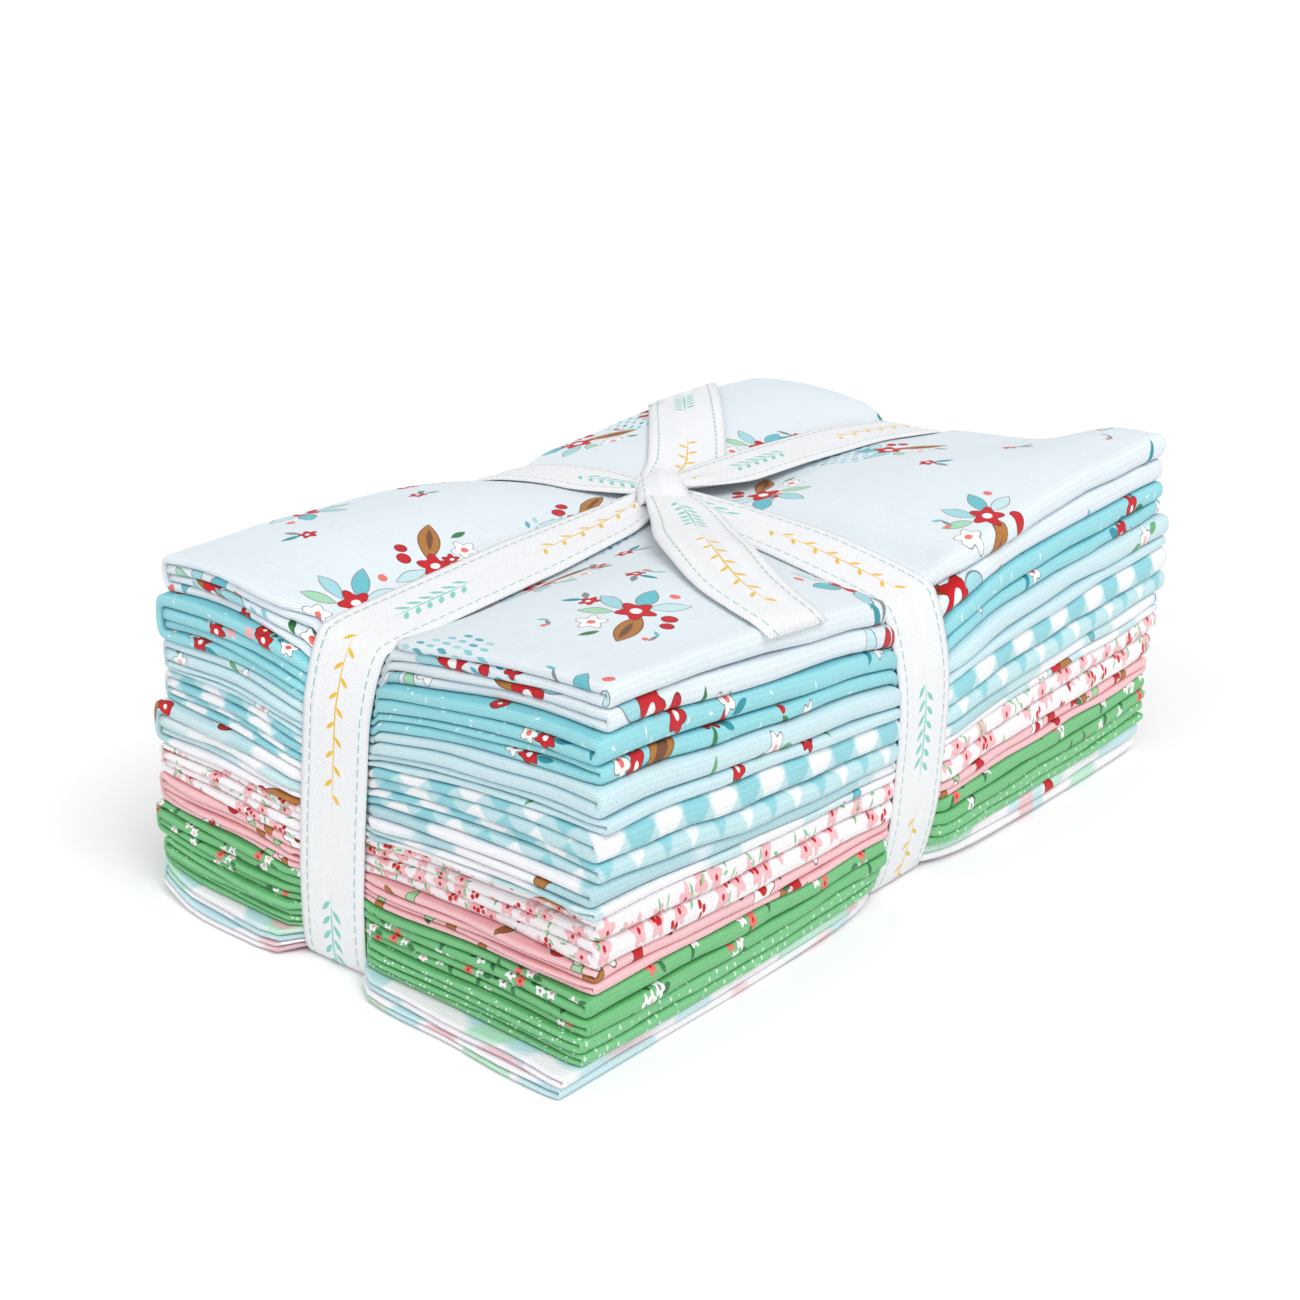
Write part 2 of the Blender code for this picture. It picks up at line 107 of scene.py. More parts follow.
# How far out the ribbon holds the folded ends (-X) and the folds (-Y and +Y), at each height
HELD_X = (
    (0.0, -109.4), (5.0, -110.2), (12.0, -110.6), (22.0, -110.4), (30.0, -109.4), (40.0, -108.2),
    (47.0, -107.4), (56.0, -106.4), (64.8, -105.0), (69.4, -103.2), (72.6, -100.6), (74.4, -98.0),
    (77.0, -93.0),
)
HELD_FRONT = (
    (0.0, -62.6), (2.0, -63.2), (7.0, -64.6), (12.0, -65.9), (20.0, -67.4), (29.0, -68.4), (38.0, -69.0),
    (46.0, -69.3), (53.0, -68.8), (60.0, -67.6), (66.0, -65.8), (70.0, -63.8), (73.6, -59.5), (80.0, -50.0),
)
HELD_BACK = (
    (0.0, 58.0), (8.0, 64.5), (20.0, 68.5), (50.0, 69.5), (68.0, 68.8), (73.0, 68.0), (78.6, 65.0),
    (84.0, 60.0),
)
# The underside: how far the front edge is lifted off the floor, and the cloth where the ribbon
# passes below it
FRONT_LIFT = (
    (-122.0, 0.0), (-75.0, 0.0), (-59.0, 0.0), (-41.0, 0.5), (-25.0, 1.0), (-5.0, 1.3), (16.0, 2.0),
    (27.0, 2.0), (46.0, 1.6), (76.0, 0.6), (98.0, 0.4), (122.0, 1.6),
)
UNDER_LENGTHWISE = ((-122.0, 1.1), (-95.0, 1.3), (-55.0, 2.6), (5.0, 3.5), (60.0, 3.0), (122.0, 2.4))
UNDER_CROSSWISE = ((-72.0, 1.2), (-50.0, 1.6), (8.0, 2.4), (50.0, 2.2), (72.0, 1.8))
# How far the ribbon's press reaches beside it: short at the stack's edges, longer on its top, and
# how far inside the edges it is longest. Below the stack it reaches as far everywhere.
EDGE_REACH, TOP_REACH, REACH_GROWS = 1.6, 7.0, 32.0
UNDER_REACH = 4.0
# The edges of the top: its -X and +X end, and its half width
TOP_LEFT, TOP_RIGHT, TOP_HALF = -104.0, 114.0, 66.0
# How far along it a turn's tilt takes to fade
TILT_FADE = 25.0
# How far in from the -Y edge the floor's clearance fades
LIFT_FADE = 9.0
# The lifted corner of the lowest cotton: where it starts along Y and X, how far on it is whole, and
# how high it then lies
CORNER_Y, CORNER_X, CORNER_LIFT = (50.0, 19.0), (-92.0, 24.0), 3.6

# One row for each cotton, from the top down.
# front_x and left_x: where its -X end lies at the -Y corner and at the +Y corner.
# right_x: where its +X end lies. fold_y: its two round folds. nose_y: its outer fold.
# left, front, middle, right, back: its share of the stack's height at those corners and in the
# middle of the -Y edge, about its thickness. upper: the share of the upper pair of its four bands.
SHARE_X = (-122.0, -45.0, 122.0)
Cotton = namedtuple(
    "Cotton", "node slot front_x left_x right_x fold_y nose_y left front middle right back upper"
)
COTTON_ROWS = (
    ("ice_floral", "ice", -106.1, -105.4, 118.6, -70.0, 69.5, 9.0, 9.6, 13.2, 13.0, 9.5, 0.50),
    ("aqua_sprig", "aqua", -109.4, -107.6, 119.6, -70.5, 70.5, 12.0, 10.6, 10.1, 9.4, 9.5, 0.57),
    ("pale_aqua", "pale_aqua", -110.4, -107.6, 120.6, -72.0, 69.5, 8.0, 10.2, 9.7, 9.4, 9.0, 0.64),
    ("aqua_check", "check", -110.8, -107.8, 121.1, -72.0, 69.5, 8.0, 11.4, 13.2, 12.8, 9.5, 0.56),
    ("white_cloud", "cloud", -112.9, -109.6, 119.6, -71.0, 71.5, 10.8, 7.6, 5.6, 6.2, 9.0, 0.60),
    ("pink_ditsy", "ditsy", -110.0, -110.4, 119.6, -71.0, 69.5, 8.2, 12.8, 11.9, 12.4, 9.5, 0.47),
    ("rose", "rose", -112.0, -110.4, 118.6, -70.0, 71.0, 8.5, 6.0, 4.9, 5.4, 8.5, 0.56),
    ("green_floral", "green_floral", -113.4, -111.0, 119.6, -70.5, 72.5, 9.2, 9.0, 8.4, 8.4, 9.0, 0.54),
    ("green_dotted", "green_dotted", -115.4, -112.0, 119.6, -70.0, 69.5, 7.0, 7.0, 6.4, 5.8, 7.5, 0.56),
    ("white_print", "white", -121.1, -115.4, 118.6, -69.0, 70.5, 6.4, 5.6, 4.8, 8.6, 7.0, 0.56),
)
COTTONS = tuple(
    Cotton(f"cloth_{number:02}_{node}", "cotton_" + slot, *sizes)
    for number, (node, slot, *sizes) in enumerate(COTTON_ROWS, 1)
)
BANDS = 4
# How fast the ribbon's press fades from the outermost layers inwards
PRESS_FADE = 2.4
LAST_LEVEL = len(COTTONS) * BANDS


def to_linear(colour):
    """An sRGB hex colour as linear red, green, blue and alpha."""
    values = [int(colour[i : i + 2], 16) / 255 for i in (0, 2, 4)]
    linear = [v / 12.92 if v <= 0.04045 else ((v + 0.055) / 1.055) ** 2.4 for v in values]
    return (*linear, 1.0)


def mix(a, b, share):
    """The number, point or array that lies the given share of the way from a to b."""
    if isinstance(a, tuple):
        return tuple(mix(one, other, share) for one, other in zip(a, b))
    return a + (b - a) * share


def smooth_weights(stations, values):
    """For each value, how much each station counts in a smooth curve through all of them."""
    stations = np.asarray(stations, float)
    last = len(stations) - 1
    flat = np.clip(np.ravel(values), stations[0], stations[last])
    low = np.clip(np.searchsorted(stations, flat, side="right") - 1, 0, last - 1)
    span = stations[low + 1] - stations[low]
    t = (flat - stations[low]) / span
    weights = np.zeros((flat.size, last + 1))
    rows = np.arange(flat.size)
    weights[rows, low] += 2 * t**3 - 3 * t**2 + 1
    weights[rows, low + 1] += 3 * t**2 - 2 * t**3
    for station, slope in ((low, t**3 - 2 * t**2 + t), (low + 1, t**3 - t**2)):
        before, after = np.maximum(station - 1, 0), np.minimum(station + 1, last)
        share = slope * span / (stations[after] - stations[before])
        weights[rows, after] += share
        weights[rows, before] -= share
    return weights.reshape(np.shape(values) + (last + 1,))


def along(pairs, values):
    """Reads a table of (place, value) pairs as a smooth curve."""
    places, sizes = zip(*pairs)
    return smooth_weights(places, values) @ np.asarray(sizes)


# Unevenness: the first seed, the height in mm and the lengths of the waves, for the puffed top, the
# bands' faces, the folds, the -X ends and the +X ends
Uneven = namedtuple("Uneven", "seed amount lengths")
TOP_WAVES = Uneven(5, 0.22, (34.0, 58.0))
FACE_WAVES = Uneven(100, 0.17, (31.0, 64.0))
FOLD_WAVES = Uneven(200, 0.42, (26.0, 70.0))
LEFT_WAVES = Uneven(300, 0.55, (33.0, 90.0))
RIGHT_WAVES = Uneven(400, 0.8, (27.0, 80.0))


def waves(kind, number, x, y=0.0):
    """A gentle unevenness: long waves in seeded directions, about the kind's amount high in all."""
    random = np.random.default_rng(kind.seed + number)
    total = np.zeros(np.broadcast(x, y).shape)
    for length in kind.lengths:
        for _ in range(2):
            way, phase = random.uniform(0, 2 * math.pi, 2)
            run = x * math.cos(way) + y * math.sin(way)
            total = total + np.sin(run * 2 * math.pi / length + phase)
    return kind.amount * total / math.sqrt(2 * len(kind.lengths))


def hold(distance, reach):
    """How firmly the ribbon holds the cloth: 1 under it, and fading with the distance from it."""
    return np.exp(-np.maximum(distance, 0.0) / reach)


def path_marks(points):
    """How far along a path each of its points lies."""
    steps = np.linalg.norm(np.diff(points, axis=0), axis=1)
    return np.concatenate(((0.0,), np.cumsum(steps)))


def unit(vectors):
    """Each row's vector at length 1."""
    return vectors / np.linalg.norm(vectors, axis=1)[:, None]


def ribbon_half():
    """Half the ribbon's width, in mm."""
    return bpy.context.scene.bundle_sizes.ribbon_width / MM / 2


def top_free(x, y):
    """The height of the stack's top as it would puff up without the ribbon."""
    height = np.einsum(
        "...i,ij,...j->...", smooth_weights(STATIONS_X, x), np.asarray(PUFFED), smooth_weights(STATIONS_Y, y)
    )
    return height + waves(TOP_WAVES, 0, x, y)


def press_reach(inside):
    """How far the press reaches beside the ribbon, at a distance inside the stack's edge."""
    return mix(EDGE_REACH, TOP_REACH, np.clip(inside / REACH_GROWS, 0.0, 1.0))


def top_surface(x, y):
    """The height of the stack's top, puffed up and then pressed in by the ribbon's two turns."""
    height = top_free(x, y)
    half = ribbon_half()
    inside_x = np.minimum(x - TOP_LEFT, TOP_RIGHT - x)
    inside_y = TOP_HALF - np.abs(y)
    lengthwise = along(LENGTHWISE_TOP, x) + tilt(0, x) * (y - LENGTH_Y)
    crosswise = along(CROSSWISE_TOP, y) + tilt(1, y) * (x - CROSS_X)
    height = mix(height, lengthwise, hold(np.abs(y - LENGTH_Y) - half, press_reach(inside_x)))
    return mix(height, crosswise, hold(np.abs(x - CROSS_X) - half, press_reach(inside_y)))


def tilt(axis, place):
    """How steeply a turn slopes across itself at a place along it: all up to a place, then fading."""
    steep, until = TURN_TILTS[axis]
    return steep / (2 * ribbon_half()) * np.clip((until - place) / TILT_FADE, 0.0, 1.0)


def under_free(x, y):
    """The height of the stack's underside beside the ribbon."""
    height = along(FRONT_LIFT, x) * hold(y - COTTONS[-1].fold_y, LIFT_FADE)
    from_y, from_x = (y - CORNER_Y[0]) / CORNER_Y[1], (CORNER_X[0] - x) / CORNER_X[1]
    corner = np.clip(from_y, 0.0, 1.0) * np.clip(from_x, 0.0, 1.0)
    return height + CORNER_LIFT * corner**2


def under_surface(x, y):
    """The height of the stack's underside, lifted where the ribbon passes below it."""
    half = ribbon_half()
    height = under_free(x, y)
    lengthwise, crosswise = along(UNDER_LENGTHWISE, x), along(UNDER_CROSSWISE, y)
    for turn, off in ((lengthwise, y - LENGTH_Y), (crosswise, x - CROSS_X)):
        height = mix(height, np.maximum(height, turn), hold(np.abs(off) - half, UNDER_REACH))
    return height


def corner_weights(x, y):
    """How much the places of the shares count at (x, y): front, middle, right, left and back."""
    a = (x - STATIONS_X[0]) / (STATIONS_X[-1] - STATIONS_X[0])
    b = (y - STATIONS_Y[0]) / (STATIONS_Y[-1] - STATIONS_Y[0])
    near = smooth_weights(SHARE_X, x) * (1 - b)[..., None]
    return np.concatenate((near, np.stack(((1 - a) * b, a * b), axis=-1)), axis=-1)


# How unevenly a pair of bands shares its thickness, and the seed for it
UNEVEN_SPLIT, SPLIT_SEED = 0.05, 11


def make_passed():
    """The height that is used up above each level, at the five places of the shares."""
    random = np.random.default_rng(SPLIT_SEED)
    passed = [np.zeros(5)]
    for cotton in COTTONS:
        thick = np.array((cotton.front, cotton.middle, cotton.right, cotton.left, cotton.back))
        for share in (cotton.upper, 1 - cotton.upper):
            split = 0.5 + random.uniform(-UNEVEN_SPLIT, UNEVEN_SPLIT)
            for part in (split, 1 - split):
                passed.append(passed[-1] + thick * share * part)
    return np.array(passed)


PASSED = make_passed()


def face_height(level, x, y, side):
    """The height of a band's face: half a gap off the level that it shares with the next band."""
    corners = corner_weights(x, y)
    share = (corners @ PASSED[level]) / (corners @ PASSED[-1])
    free, free_under = top_free(x, y), under_free(x, y)
    height = mix(free, free_under, share)
    height = height + (top_surface(x, y) - free) * (1 - share) ** PRESS_FADE
    height = height + (under_surface(x, y) - free_under) * share**PRESS_FADE
    if 0 < level < LAST_LEVEL:
        gap = bpy.context.scene.bundle_sizes.band_gap / MM
        height = height + waves(FACE_WAVES, level, x, y) + side * gap / 2
    return height


# Over which distance beside the ribbon a fold's pull fades, over which share of the pull more, and
# over how much more again on the floor, growing less up to a height
FOLD_FADE, FOLD_SLACK, LOW_REACH, LOW_DOWN = 1.0, 0.12, 9.0, 11.0


def fold_place(number, upper, lower, side, x):
    """Where a fold's outermost line lies at each x: free, and drawn in where the ribbon holds it."""
    cotton = COTTONS[number]
    level = number * BANDS + (upper + lower + 1) // 2
    free = cotton.nose_y if side > 0 else cotton.fold_y
    free = free + waves(FOLD_WAVES, 10 * number + upper, x)
    held_at = HELD_BACK if side > 0 else HELD_FRONT
    place = free
    for _ in range(3):
        height = face_height(level, x, place, 0)
        held = along(held_at, height)
        held = np.minimum(held, free) if side > 0 else np.maximum(held, free)
        low_down = np.clip(1 - height / LOW_DOWN, 0.0, 1.0)
        reach = FOLD_FADE + FOLD_SLACK * np.abs(held - free) + LOW_REACH * low_down
        place = mix(free, held, hold(np.abs(x - CROSS_X) - ribbon_half(), reach))
    return place


def rounded(angles, power=0.8):
    """Cosines and sines of angles in degrees, filled out a little towards a box."""
    turned = np.radians(np.asarray(angles, float))[:, None]
    c, s = np.cos(turned), np.sin(turned)
    return np.sign(c) * np.abs(c) ** power, np.sign(s) * np.abs(s) ** power


# The strip's path from one free end to the other. flat: a band, from the share of its width to
# the share. fold: the bands above and below it, the side that it bulges to, and its angles.
FLAT_PLACES = (
    0.02, 0.045, 0.08, 0.12, 0.165, 0.21, 0.255, 0.3, 0.345, 0.39, 0.43, 0.462, 0.49, 0.52, 0.56,
    0.6, 0.632, 0.665, 0.71, 0.76, 0.81, 0.86, 0.905, 0.945, 0.98,
)
FOLD_ANGLES = tuple(-90.0 + 180.0 * step / 10 for step in range(11))
NOSE_ANGLES = tuple(90.0 - 180.0 * step / 16 for step in range(17))
PATH = (
    ("flat", 1, None, 0, (1.0, *FLAT_PLACES[::-1])),
    ("fold", 0, 1, -1, FOLD_ANGLES),
    ("flat", 0, None, 0, FLAT_PLACES),
    ("fold", 0, 3, 1, NOSE_ANGLES),
    ("flat", 3, None, 0, FLAT_PLACES[::-1]),
    ("fold", 2, 3, -1, FOLD_ANGLES),
    ("flat", 2, None, 0, (*FLAT_PLACES, 1.0)),
)
ROWS = sum(len(places) for *_rest, places in PATH)

# Where a fold's height is read, in from its outermost line
FOLD_INSET = 2.0
# How far a fold bulges, as a share of its half height: the two round folds, and the outer fold
ROUND_FOLD, OUTER_FOLD = 0.86, 0.8
# How thick the cloth is at a fold's crest, as a share of its bands, and the least hollow inside it
CREST_THINNING, LEAST_HOLLOW = 0.92, 0.12
Fold = namedtuple("Fold", "centre outer_middle inner_middle outer_up inner_up outer_out inner_out")


def fold_shape(number, upper, lower, side, x):
    """Where a fold's centre lies at each x, and the half sizes of its outer and inner face."""
    outermost = fold_place(number, upper, lower, side, x)
    first = number * BANDS
    inset = outermost - side * FOLD_INSET
    top = face_height(first + upper, x, inset, -1), face_height(first + upper + 1, x, inset, 1)
    under = face_height(first + lower, x, inset, -1), face_height(first + lower + 1, x, inset, 1)
    outer_up = (top[0] - under[1]) / 2
    inner_up = (top[1] - under[0]) / 2
    outer_out = outer_up * (ROUND_FOLD if side < 0 else OUTER_FOLD)
    inner_out = np.maximum(outer_out - (outer_up - inner_up) * CREST_THINNING, LEAST_HOLLOW)
    return Fold(
        outermost - side * outer_out, (top[0] + under[1]) / 2, (top[1] + under[0]) / 2,
        outer_up, inner_up, outer_out, inner_out,
    )


def strip_faces(number, x):
    """The outer and the inner face of a folded strip as (y, z), for a row of x at each place."""
    outer, inner = np.zeros(x.shape + (2,)), np.zeros(x.shape + (2,))
    row = 0
    for kind, upper, lower, side, places in PATH:
        rows = slice(row, row + len(places))
        row += len(places)
        here = x[rows]
        if kind == "flat":
            pair = (0, 1) if upper < 2 else (2, 3)
            start = fold_shape(number, *pair, -1, here).centre
            end = fold_shape(number, 0, 3, 1, here).centre
            y = mix(start, end, np.asarray(places)[:, None])
            level = number * BANDS + upper
            high, low = face_height(level, here, y, -1), face_height(level + 1, here, y, 1)
            out, back = (high, low) if upper % 2 == 0 else (low, high)
            outer[rows] = np.stack((y, out), axis=-1)
            inner[rows] = np.stack((y, back), axis=-1)
        else:
            fold = fold_shape(number, upper, lower, side, here)
            c, s = rounded(places)
            outer[rows] = np.stack(
                (fold.centre + side * fold.outer_out * c, fold.outer_middle + fold.outer_up * s), axis=-1
            )
            inner[rows] = np.stack(
                (fold.centre + side * fold.inner_out * c, fold.inner_middle + fold.inner_up * s), axis=-1
            )
    return outer, inner


# Places across the strip's width, from its -X to its +X end, closer where the ribbon presses it
COLUMNS = (
    0.0, 0.012, 0.03, 0.055, 0.085, 0.12, 0.155, 0.19, 0.225, 0.26, 0.295, 0.33, 0.365, 0.395, 0.42,
    0.44, 0.452, 0.462, 0.471, 0.482, 0.5, 0.52, 0.54, 0.551, 0.56, 0.57, 0.582, 0.6, 0.625, 0.655,
    0.69, 0.725, 0.76, 0.795, 0.83, 0.865, 0.9, 0.93, 0.955, 0.975, 0.99, 1.0,
)
ROUND_END = (90.0, 66.0, 44.0, 26.0, 12.0, 0.0, -12.0, -26.0, -44.0, -66.0, -90.0)
# The +X end of a band: the share across its thickness, and how far that place lies in.
# One doubled ply shows as a round fold, and two single plies lie below it.
PLY_END = ((0.14, 1.5), (0.3, 0.35), (0.58, 0.0), (0.86, 0.35), (1.0, 1.4))
PLY_END_INNER = ((-1.0, 1.6), (-0.78, 0.5), (-0.48, 1.5), (-0.2, 0.2), (0.1, 1.5))
# How the ends draw in towards the corners. reach: how far from the corner. depth: how far in.
Corner = namedtuple("Corner", "reach depth")
LEFT_AT_NOSE, LEFT_AT_FOLD, RIGHT_AT_NOSE = Corner(4.0, 1.0), Corner(3.0, 1.2), Corner(9.0, 2.5)
# The lowest cotton's -X end: its corner at the outer fold, from where along Y and how sharply, and
# its slant from the floor up
LIFTED_CORNER, LIFTED_FROM, LIFTED_POWER, LOW_SLANT = Corner(18.0, 2.6), 52.0, 1.6, Corner(7.0, 2.6)
# Over which distance beside the ribbon an end's pull fades, and over which share of the pull more
END_FADE, END_SLACK = 0.8, 0.2
# The +X end under the ribbon: how far it is drawn in, and how far beside the ribbon
RIGHT_PULL, RIGHT_REACH = 2.6, 6.0


def strip_ends(number, rows_y, rows_z, run):
    """Where the strip's -X and +X ends lie for each place along it."""
    cotton = COTTONS[number]
    across = np.clip((rows_y - cotton.fold_y) / (cotton.nose_y - cotton.fold_y), 0.0, 1.0)
    beside = np.abs(rows_y - LENGTH_Y) - ribbon_half()

    def drawn(corner, past, power=2.0):
        return corner.depth * np.clip(past / corner.reach, 0.0, 1.0) ** power

    free = mix(cotton.front_x, cotton.left_x, across) + waves(LEFT_WAVES, number, run)
    free = free + drawn(LEFT_AT_NOSE, rows_y - cotton.nose_y + LEFT_AT_NOSE.reach)
    free = free + drawn(LEFT_AT_FOLD, cotton.fold_y + LEFT_AT_FOLD.reach - rows_y)
    if number == len(COTTONS) - 1:
        free = free + drawn(LIFTED_CORNER, rows_y - LIFTED_FROM, LIFTED_POWER)
        free = free + drawn(LOW_SLANT, rows_z, 1.0)
    held = np.maximum(along(HELD_X, rows_z), free)
    left = mix(free, held, hold(beside, END_FADE + END_SLACK * np.abs(held - free)))
    free = cotton.right_x + waves(RIGHT_WAVES, number, run)
    free = free - drawn(RIGHT_AT_NOSE, rows_y - cotton.nose_y + RIGHT_AT_NOSE.reach)
    return left, free - RIGHT_PULL * hold(beside, RIGHT_REACH)


def new_piece(name, points, faces, uvs, material, creases=None):
    """A smooth mesh object with UVs in metres, one material and how deep in a crease each point is, which
    sets its painted shade.
    """
    mesh = bpy.data.meshes.new(name)
    mesh.from_pydata([tuple(point) for point in points], [], [tuple(face) for face in faces])
    layer = mesh.uv_layers.new(name="cloth")
    layer.data.foreach_set("uv", np.asarray(uvs, dtype=np.float32).ravel())
    mesh.polygons.foreach_set("use_smooth", [True] * len(mesh.polygons))
    if creases is not None:
        depths = mesh.attributes.new("crease", "FLOAT", "POINT")
        depths.data.foreach_set("value", np.ravel(creases).astype(np.float32))
    mesh.update()
    mesh.materials.append(material)
    piece = bpy.data.objects.new(name, mesh)
    bpy.data.collections[COLLECTION].objects.link(piece)
    return piece


def skin(points, u, v):
    """Quads between rows of closed rings, with UVs, and both end rings closed.

    points has a ring for each row. u has one more column than the rings have points, so that the
    seam's two sides keep their own places in the cloth.
    """
    rows, count = points.shape[:2]
    faces, uvs = [], []
    for i in range(rows - 1):
        for j in range(count):
            k = (j + 1) % count
            faces.append((i * count + j, i * count + k, (i + 1) * count + k, (i + 1) * count + j))
            uvs += [
                (u[i, j], v[i, j]), (u[i, j + 1], v[i, j + 1]),
                (u[i + 1, j + 1], v[i + 1, j + 1]), (u[i + 1, j], v[i + 1, j]),
            ]
    for i, order in ((0, (3, 2, 1, 0)), (rows - 1, (0, 1, 2, 3))):
        for j in range(count // 2 - 1):
            ring = (j, j + 1, count - 2 - j, count - 1 - j)
            faces.append(tuple(i * count + ring[k] for k in order))
            uvs += [(u[i, ring[k]], v[i, ring[k]]) for k in order]
    return points.reshape(-1, 3) * MM, faces, np.asarray(uvs) * MM


# How fast a crease's painted shade fades towards the crest of a fold, and the share from which a point is
# outside
CREASE_SHADE_FADE, OUTSIDE = 10, 0.99


def crease_shade_depths(number, shares):
    """How deep in a crease each point of a strip lies, for its painted shade: 1 between two bands and 0 on a
    fold's crest.
    """
    depths = np.repeat(np.abs(shares) ** CREASE_SHADE_FADE, ROWS, axis=0)
    row = 0
    for kind, upper, _lower, _side, places in PATH:
        rows = slice(row, row + len(places))
        row += len(places)
        if kind == "fold":
            slant = np.sin(np.radians(np.asarray(places)))[:, None]
            depths[rows] = np.where(shares > OUTSIDE, np.abs(slant) ** CREASE_SHADE_FADE, depths[rows])
            if number == 0 and upper == 0:
                depths[rows] = np.where((shares > 0) & (slant > 0), 0.0, depths[rows])
        elif number == 0 and upper == 0:
            depths[rows] = np.where(shares > 0, 0.0, depths[rows])
    return depths


# Inside the +X end: where the flat of a band stops, and how far the unseen seam lets the cloth run on
FLAT_STOP, SEAM_RUN = 2.0, 0.2


def make_cotton(number, material):
    """One folded cotton: a closed strip with rounded folds at its -X edge and plies at its +X edge."""
    sizes = bpy.context.scene.bundle_sizes
    cotton = COTTONS[number]
    radius = sizes.edge_round / MM
    outer, inner = strip_faces(number, np.full((ROWS, 1), TOP_LEFT))
    middle = (outer[:, 0] + inner[:, 0]) / 2
    run = path_marks(middle)
    left, right = strip_ends(number, middle[:, 0], middle[:, 1], run)
    columns, shares = [], []
    for share, back in PLY_END:
        columns.append(right - back)
        shares.append(share)
    flat_from, flat_to = left + radius, right - FLAT_STOP
    for place in COLUMNS[::-1][1:-1]:
        columns.append(mix(flat_from, flat_to, place))
        shares.append(1.0)
    for angle in ROUND_END:
        c, s = math.cos(math.radians(angle)), math.sin(math.radians(angle))
        columns.append(left + radius * (1 - c))
        shares.append(s)
    for place in COLUMNS[1:-1]:
        columns.append(mix(flat_from, flat_to, place))
        shares.append(-1.0)
    for share, back in PLY_END_INNER:
        columns.append(right - back)
        shares.append(share)
    x = np.stack(columns, axis=1)
    shares = np.asarray(shares)[None, :, None]
    outer, inner = strip_faces(number, x)
    section = (outer + inner) / 2 + (outer - inner) / 2 * shares
    points = np.concatenate((x[:, :, None], section), axis=2)
    steps = np.linalg.norm(np.diff(points, axis=1), axis=2)
    u = -np.concatenate((np.zeros((ROWS, 1)), np.cumsum(steps, axis=1)), axis=1)
    middle_column = len(PLY_END) + len(COLUMNS) // 2
    u = u + (x[:, middle_column] - u[:, middle_column])[:, None]
    u = np.concatenate((u, u[:, -1:] - SEAM_RUN), axis=1)
    v = np.repeat(run[:, None], u.shape[1], axis=1)
    # How deep each point lies in a crease, which the material turns into painted shade
    creases = crease_shade_depths(number, shares[:, :, 0])
    piece = new_piece(cotton.node + "_cloth", *skin(points, u, v), material, creases)
    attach(piece, "root")
    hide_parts(cotton.node)


# The knot's middle, and how far from it the turns start
KNOT_AT, KNOT_REACH = (4.0, 9.0), 3.0
# A height that parts the stack's top from its underside
UPPER_HALF = 60.0
# How high each turn leaves the knot, on its near and on its far side
SEAT_HEIGHTS = ((84.0, 85.2), (84.0, 84.0))
# How far beside the ribbon the cloth still carries it, over which height its tilt sets in, and the
# length of a step along it. No point of the outline lies closer to a seat than the room.
ZONE_EDGE, TILT_HEIGHT, ROUTE_STEP, SEAT_ROOM = 0.4, 12.0, 2.5, 0.1


def zone_points(axis, centre):
    """Every point of the cottons that lies under a turn of the ribbon, as (along, height)."""
    half = ribbon_half() + ZONE_EDGE
    found = []
    for cotton in COTTONS:
        mesh = bpy.data.objects[cotton.node + "_cloth"].data
        places = np.empty(len(mesh.vertices) * 3)
        mesh.vertices.foreach_get("co", places)
        places = places.reshape(-1, 3) / MM
        inside = places[np.abs(places[:, 1 - axis] - centre) < half]
        on_top = np.clip((inside[:, 2] - UPPER_HALF) / TILT_HEIGHT, 0.0, 1.0)
        inside[:, 2] -= on_top * tilt(axis, inside[:, axis]) * (inside[:, 1 - axis] - centre)
        found.append(inside[:, (axis, 2)])
    return np.concatenate(found)


def cross(a, b, c):
    """Above zero where the path a, b, c turns left."""
    return (b[0] - a[0]) * (c[1] - a[1]) - (b[1] - a[1]) * (c[0] - a[0])


def hull(points):
    """The convex outline round 2D points, anticlockwise."""
    points = sorted(set(map(tuple, np.round(points, 3))))

    def half(row):
        kept = []
        for point in row:
            while len(kept) > 1 and cross(kept[-2], kept[-1], point) <= 0:
                kept.pop()
            kept.append(point)
        return kept[:-1]

    return half(points) + half(reversed(points))


def taut_route(points, centre, axis, away):
    """The ribbon's taut way round the stack from one side of the knot to the other.

    Gives points the distance away off the convex outline, pressed up into the hollow underside, and
    the outward normal at each.
    """
    near, far = SEAT_HEIGHTS[axis]
    seats = np.array(((centre - KNOT_REACH, near), (centre + KNOT_REACH, far)))
    ring = [
        point for point in hull(np.concatenate((points, seats)))
        if abs(point[0] - centre) > KNOT_REACH + SEAT_ROOM or point[1] < UPPER_HALF
    ]
    start = max(
        (index for index, point in enumerate(ring) if point[0] < centre and point[1] > UPPER_HALF),
        key=lambda index: ring[index][0],
    )
    ring = np.array([seats[0], *ring[start:], *ring[:start], seats[1]])
    route = []
    for here, following in zip(ring, ring[1:]):
        edge = following - here
        length = np.linalg.norm(edge)
        normal = np.array((edge[1], -edge[0])) / length
        steps = max(1, int(length / ROUTE_STEP))
        route += [mix(here, following, (step + 0.5) / steps) + normal * away for step in range(steps)]
    places = np.array(route)
    below = along((UNDER_LENGTHWISE, UNDER_CROSSWISE)[axis], places[:, 0]) - away
    places[:, 1] = np.maximum(places[:, 1], below)
    for _ in range(2):
        places[1:-1] = (places[:-2] + 2 * places[1:-1] + places[2:]) / 4
    tangents = unit(np.gradient(places, axis=0))
    normals = np.stack((tangents[:, 1], -tangents[:, 0]), axis=1)
    return places, normals


# Across the ribbon from edge to edge, as a share of its half width
RIBBON_ACROSS = tuple(-1.0 + 2.0 * step / 16 for step in range(17))
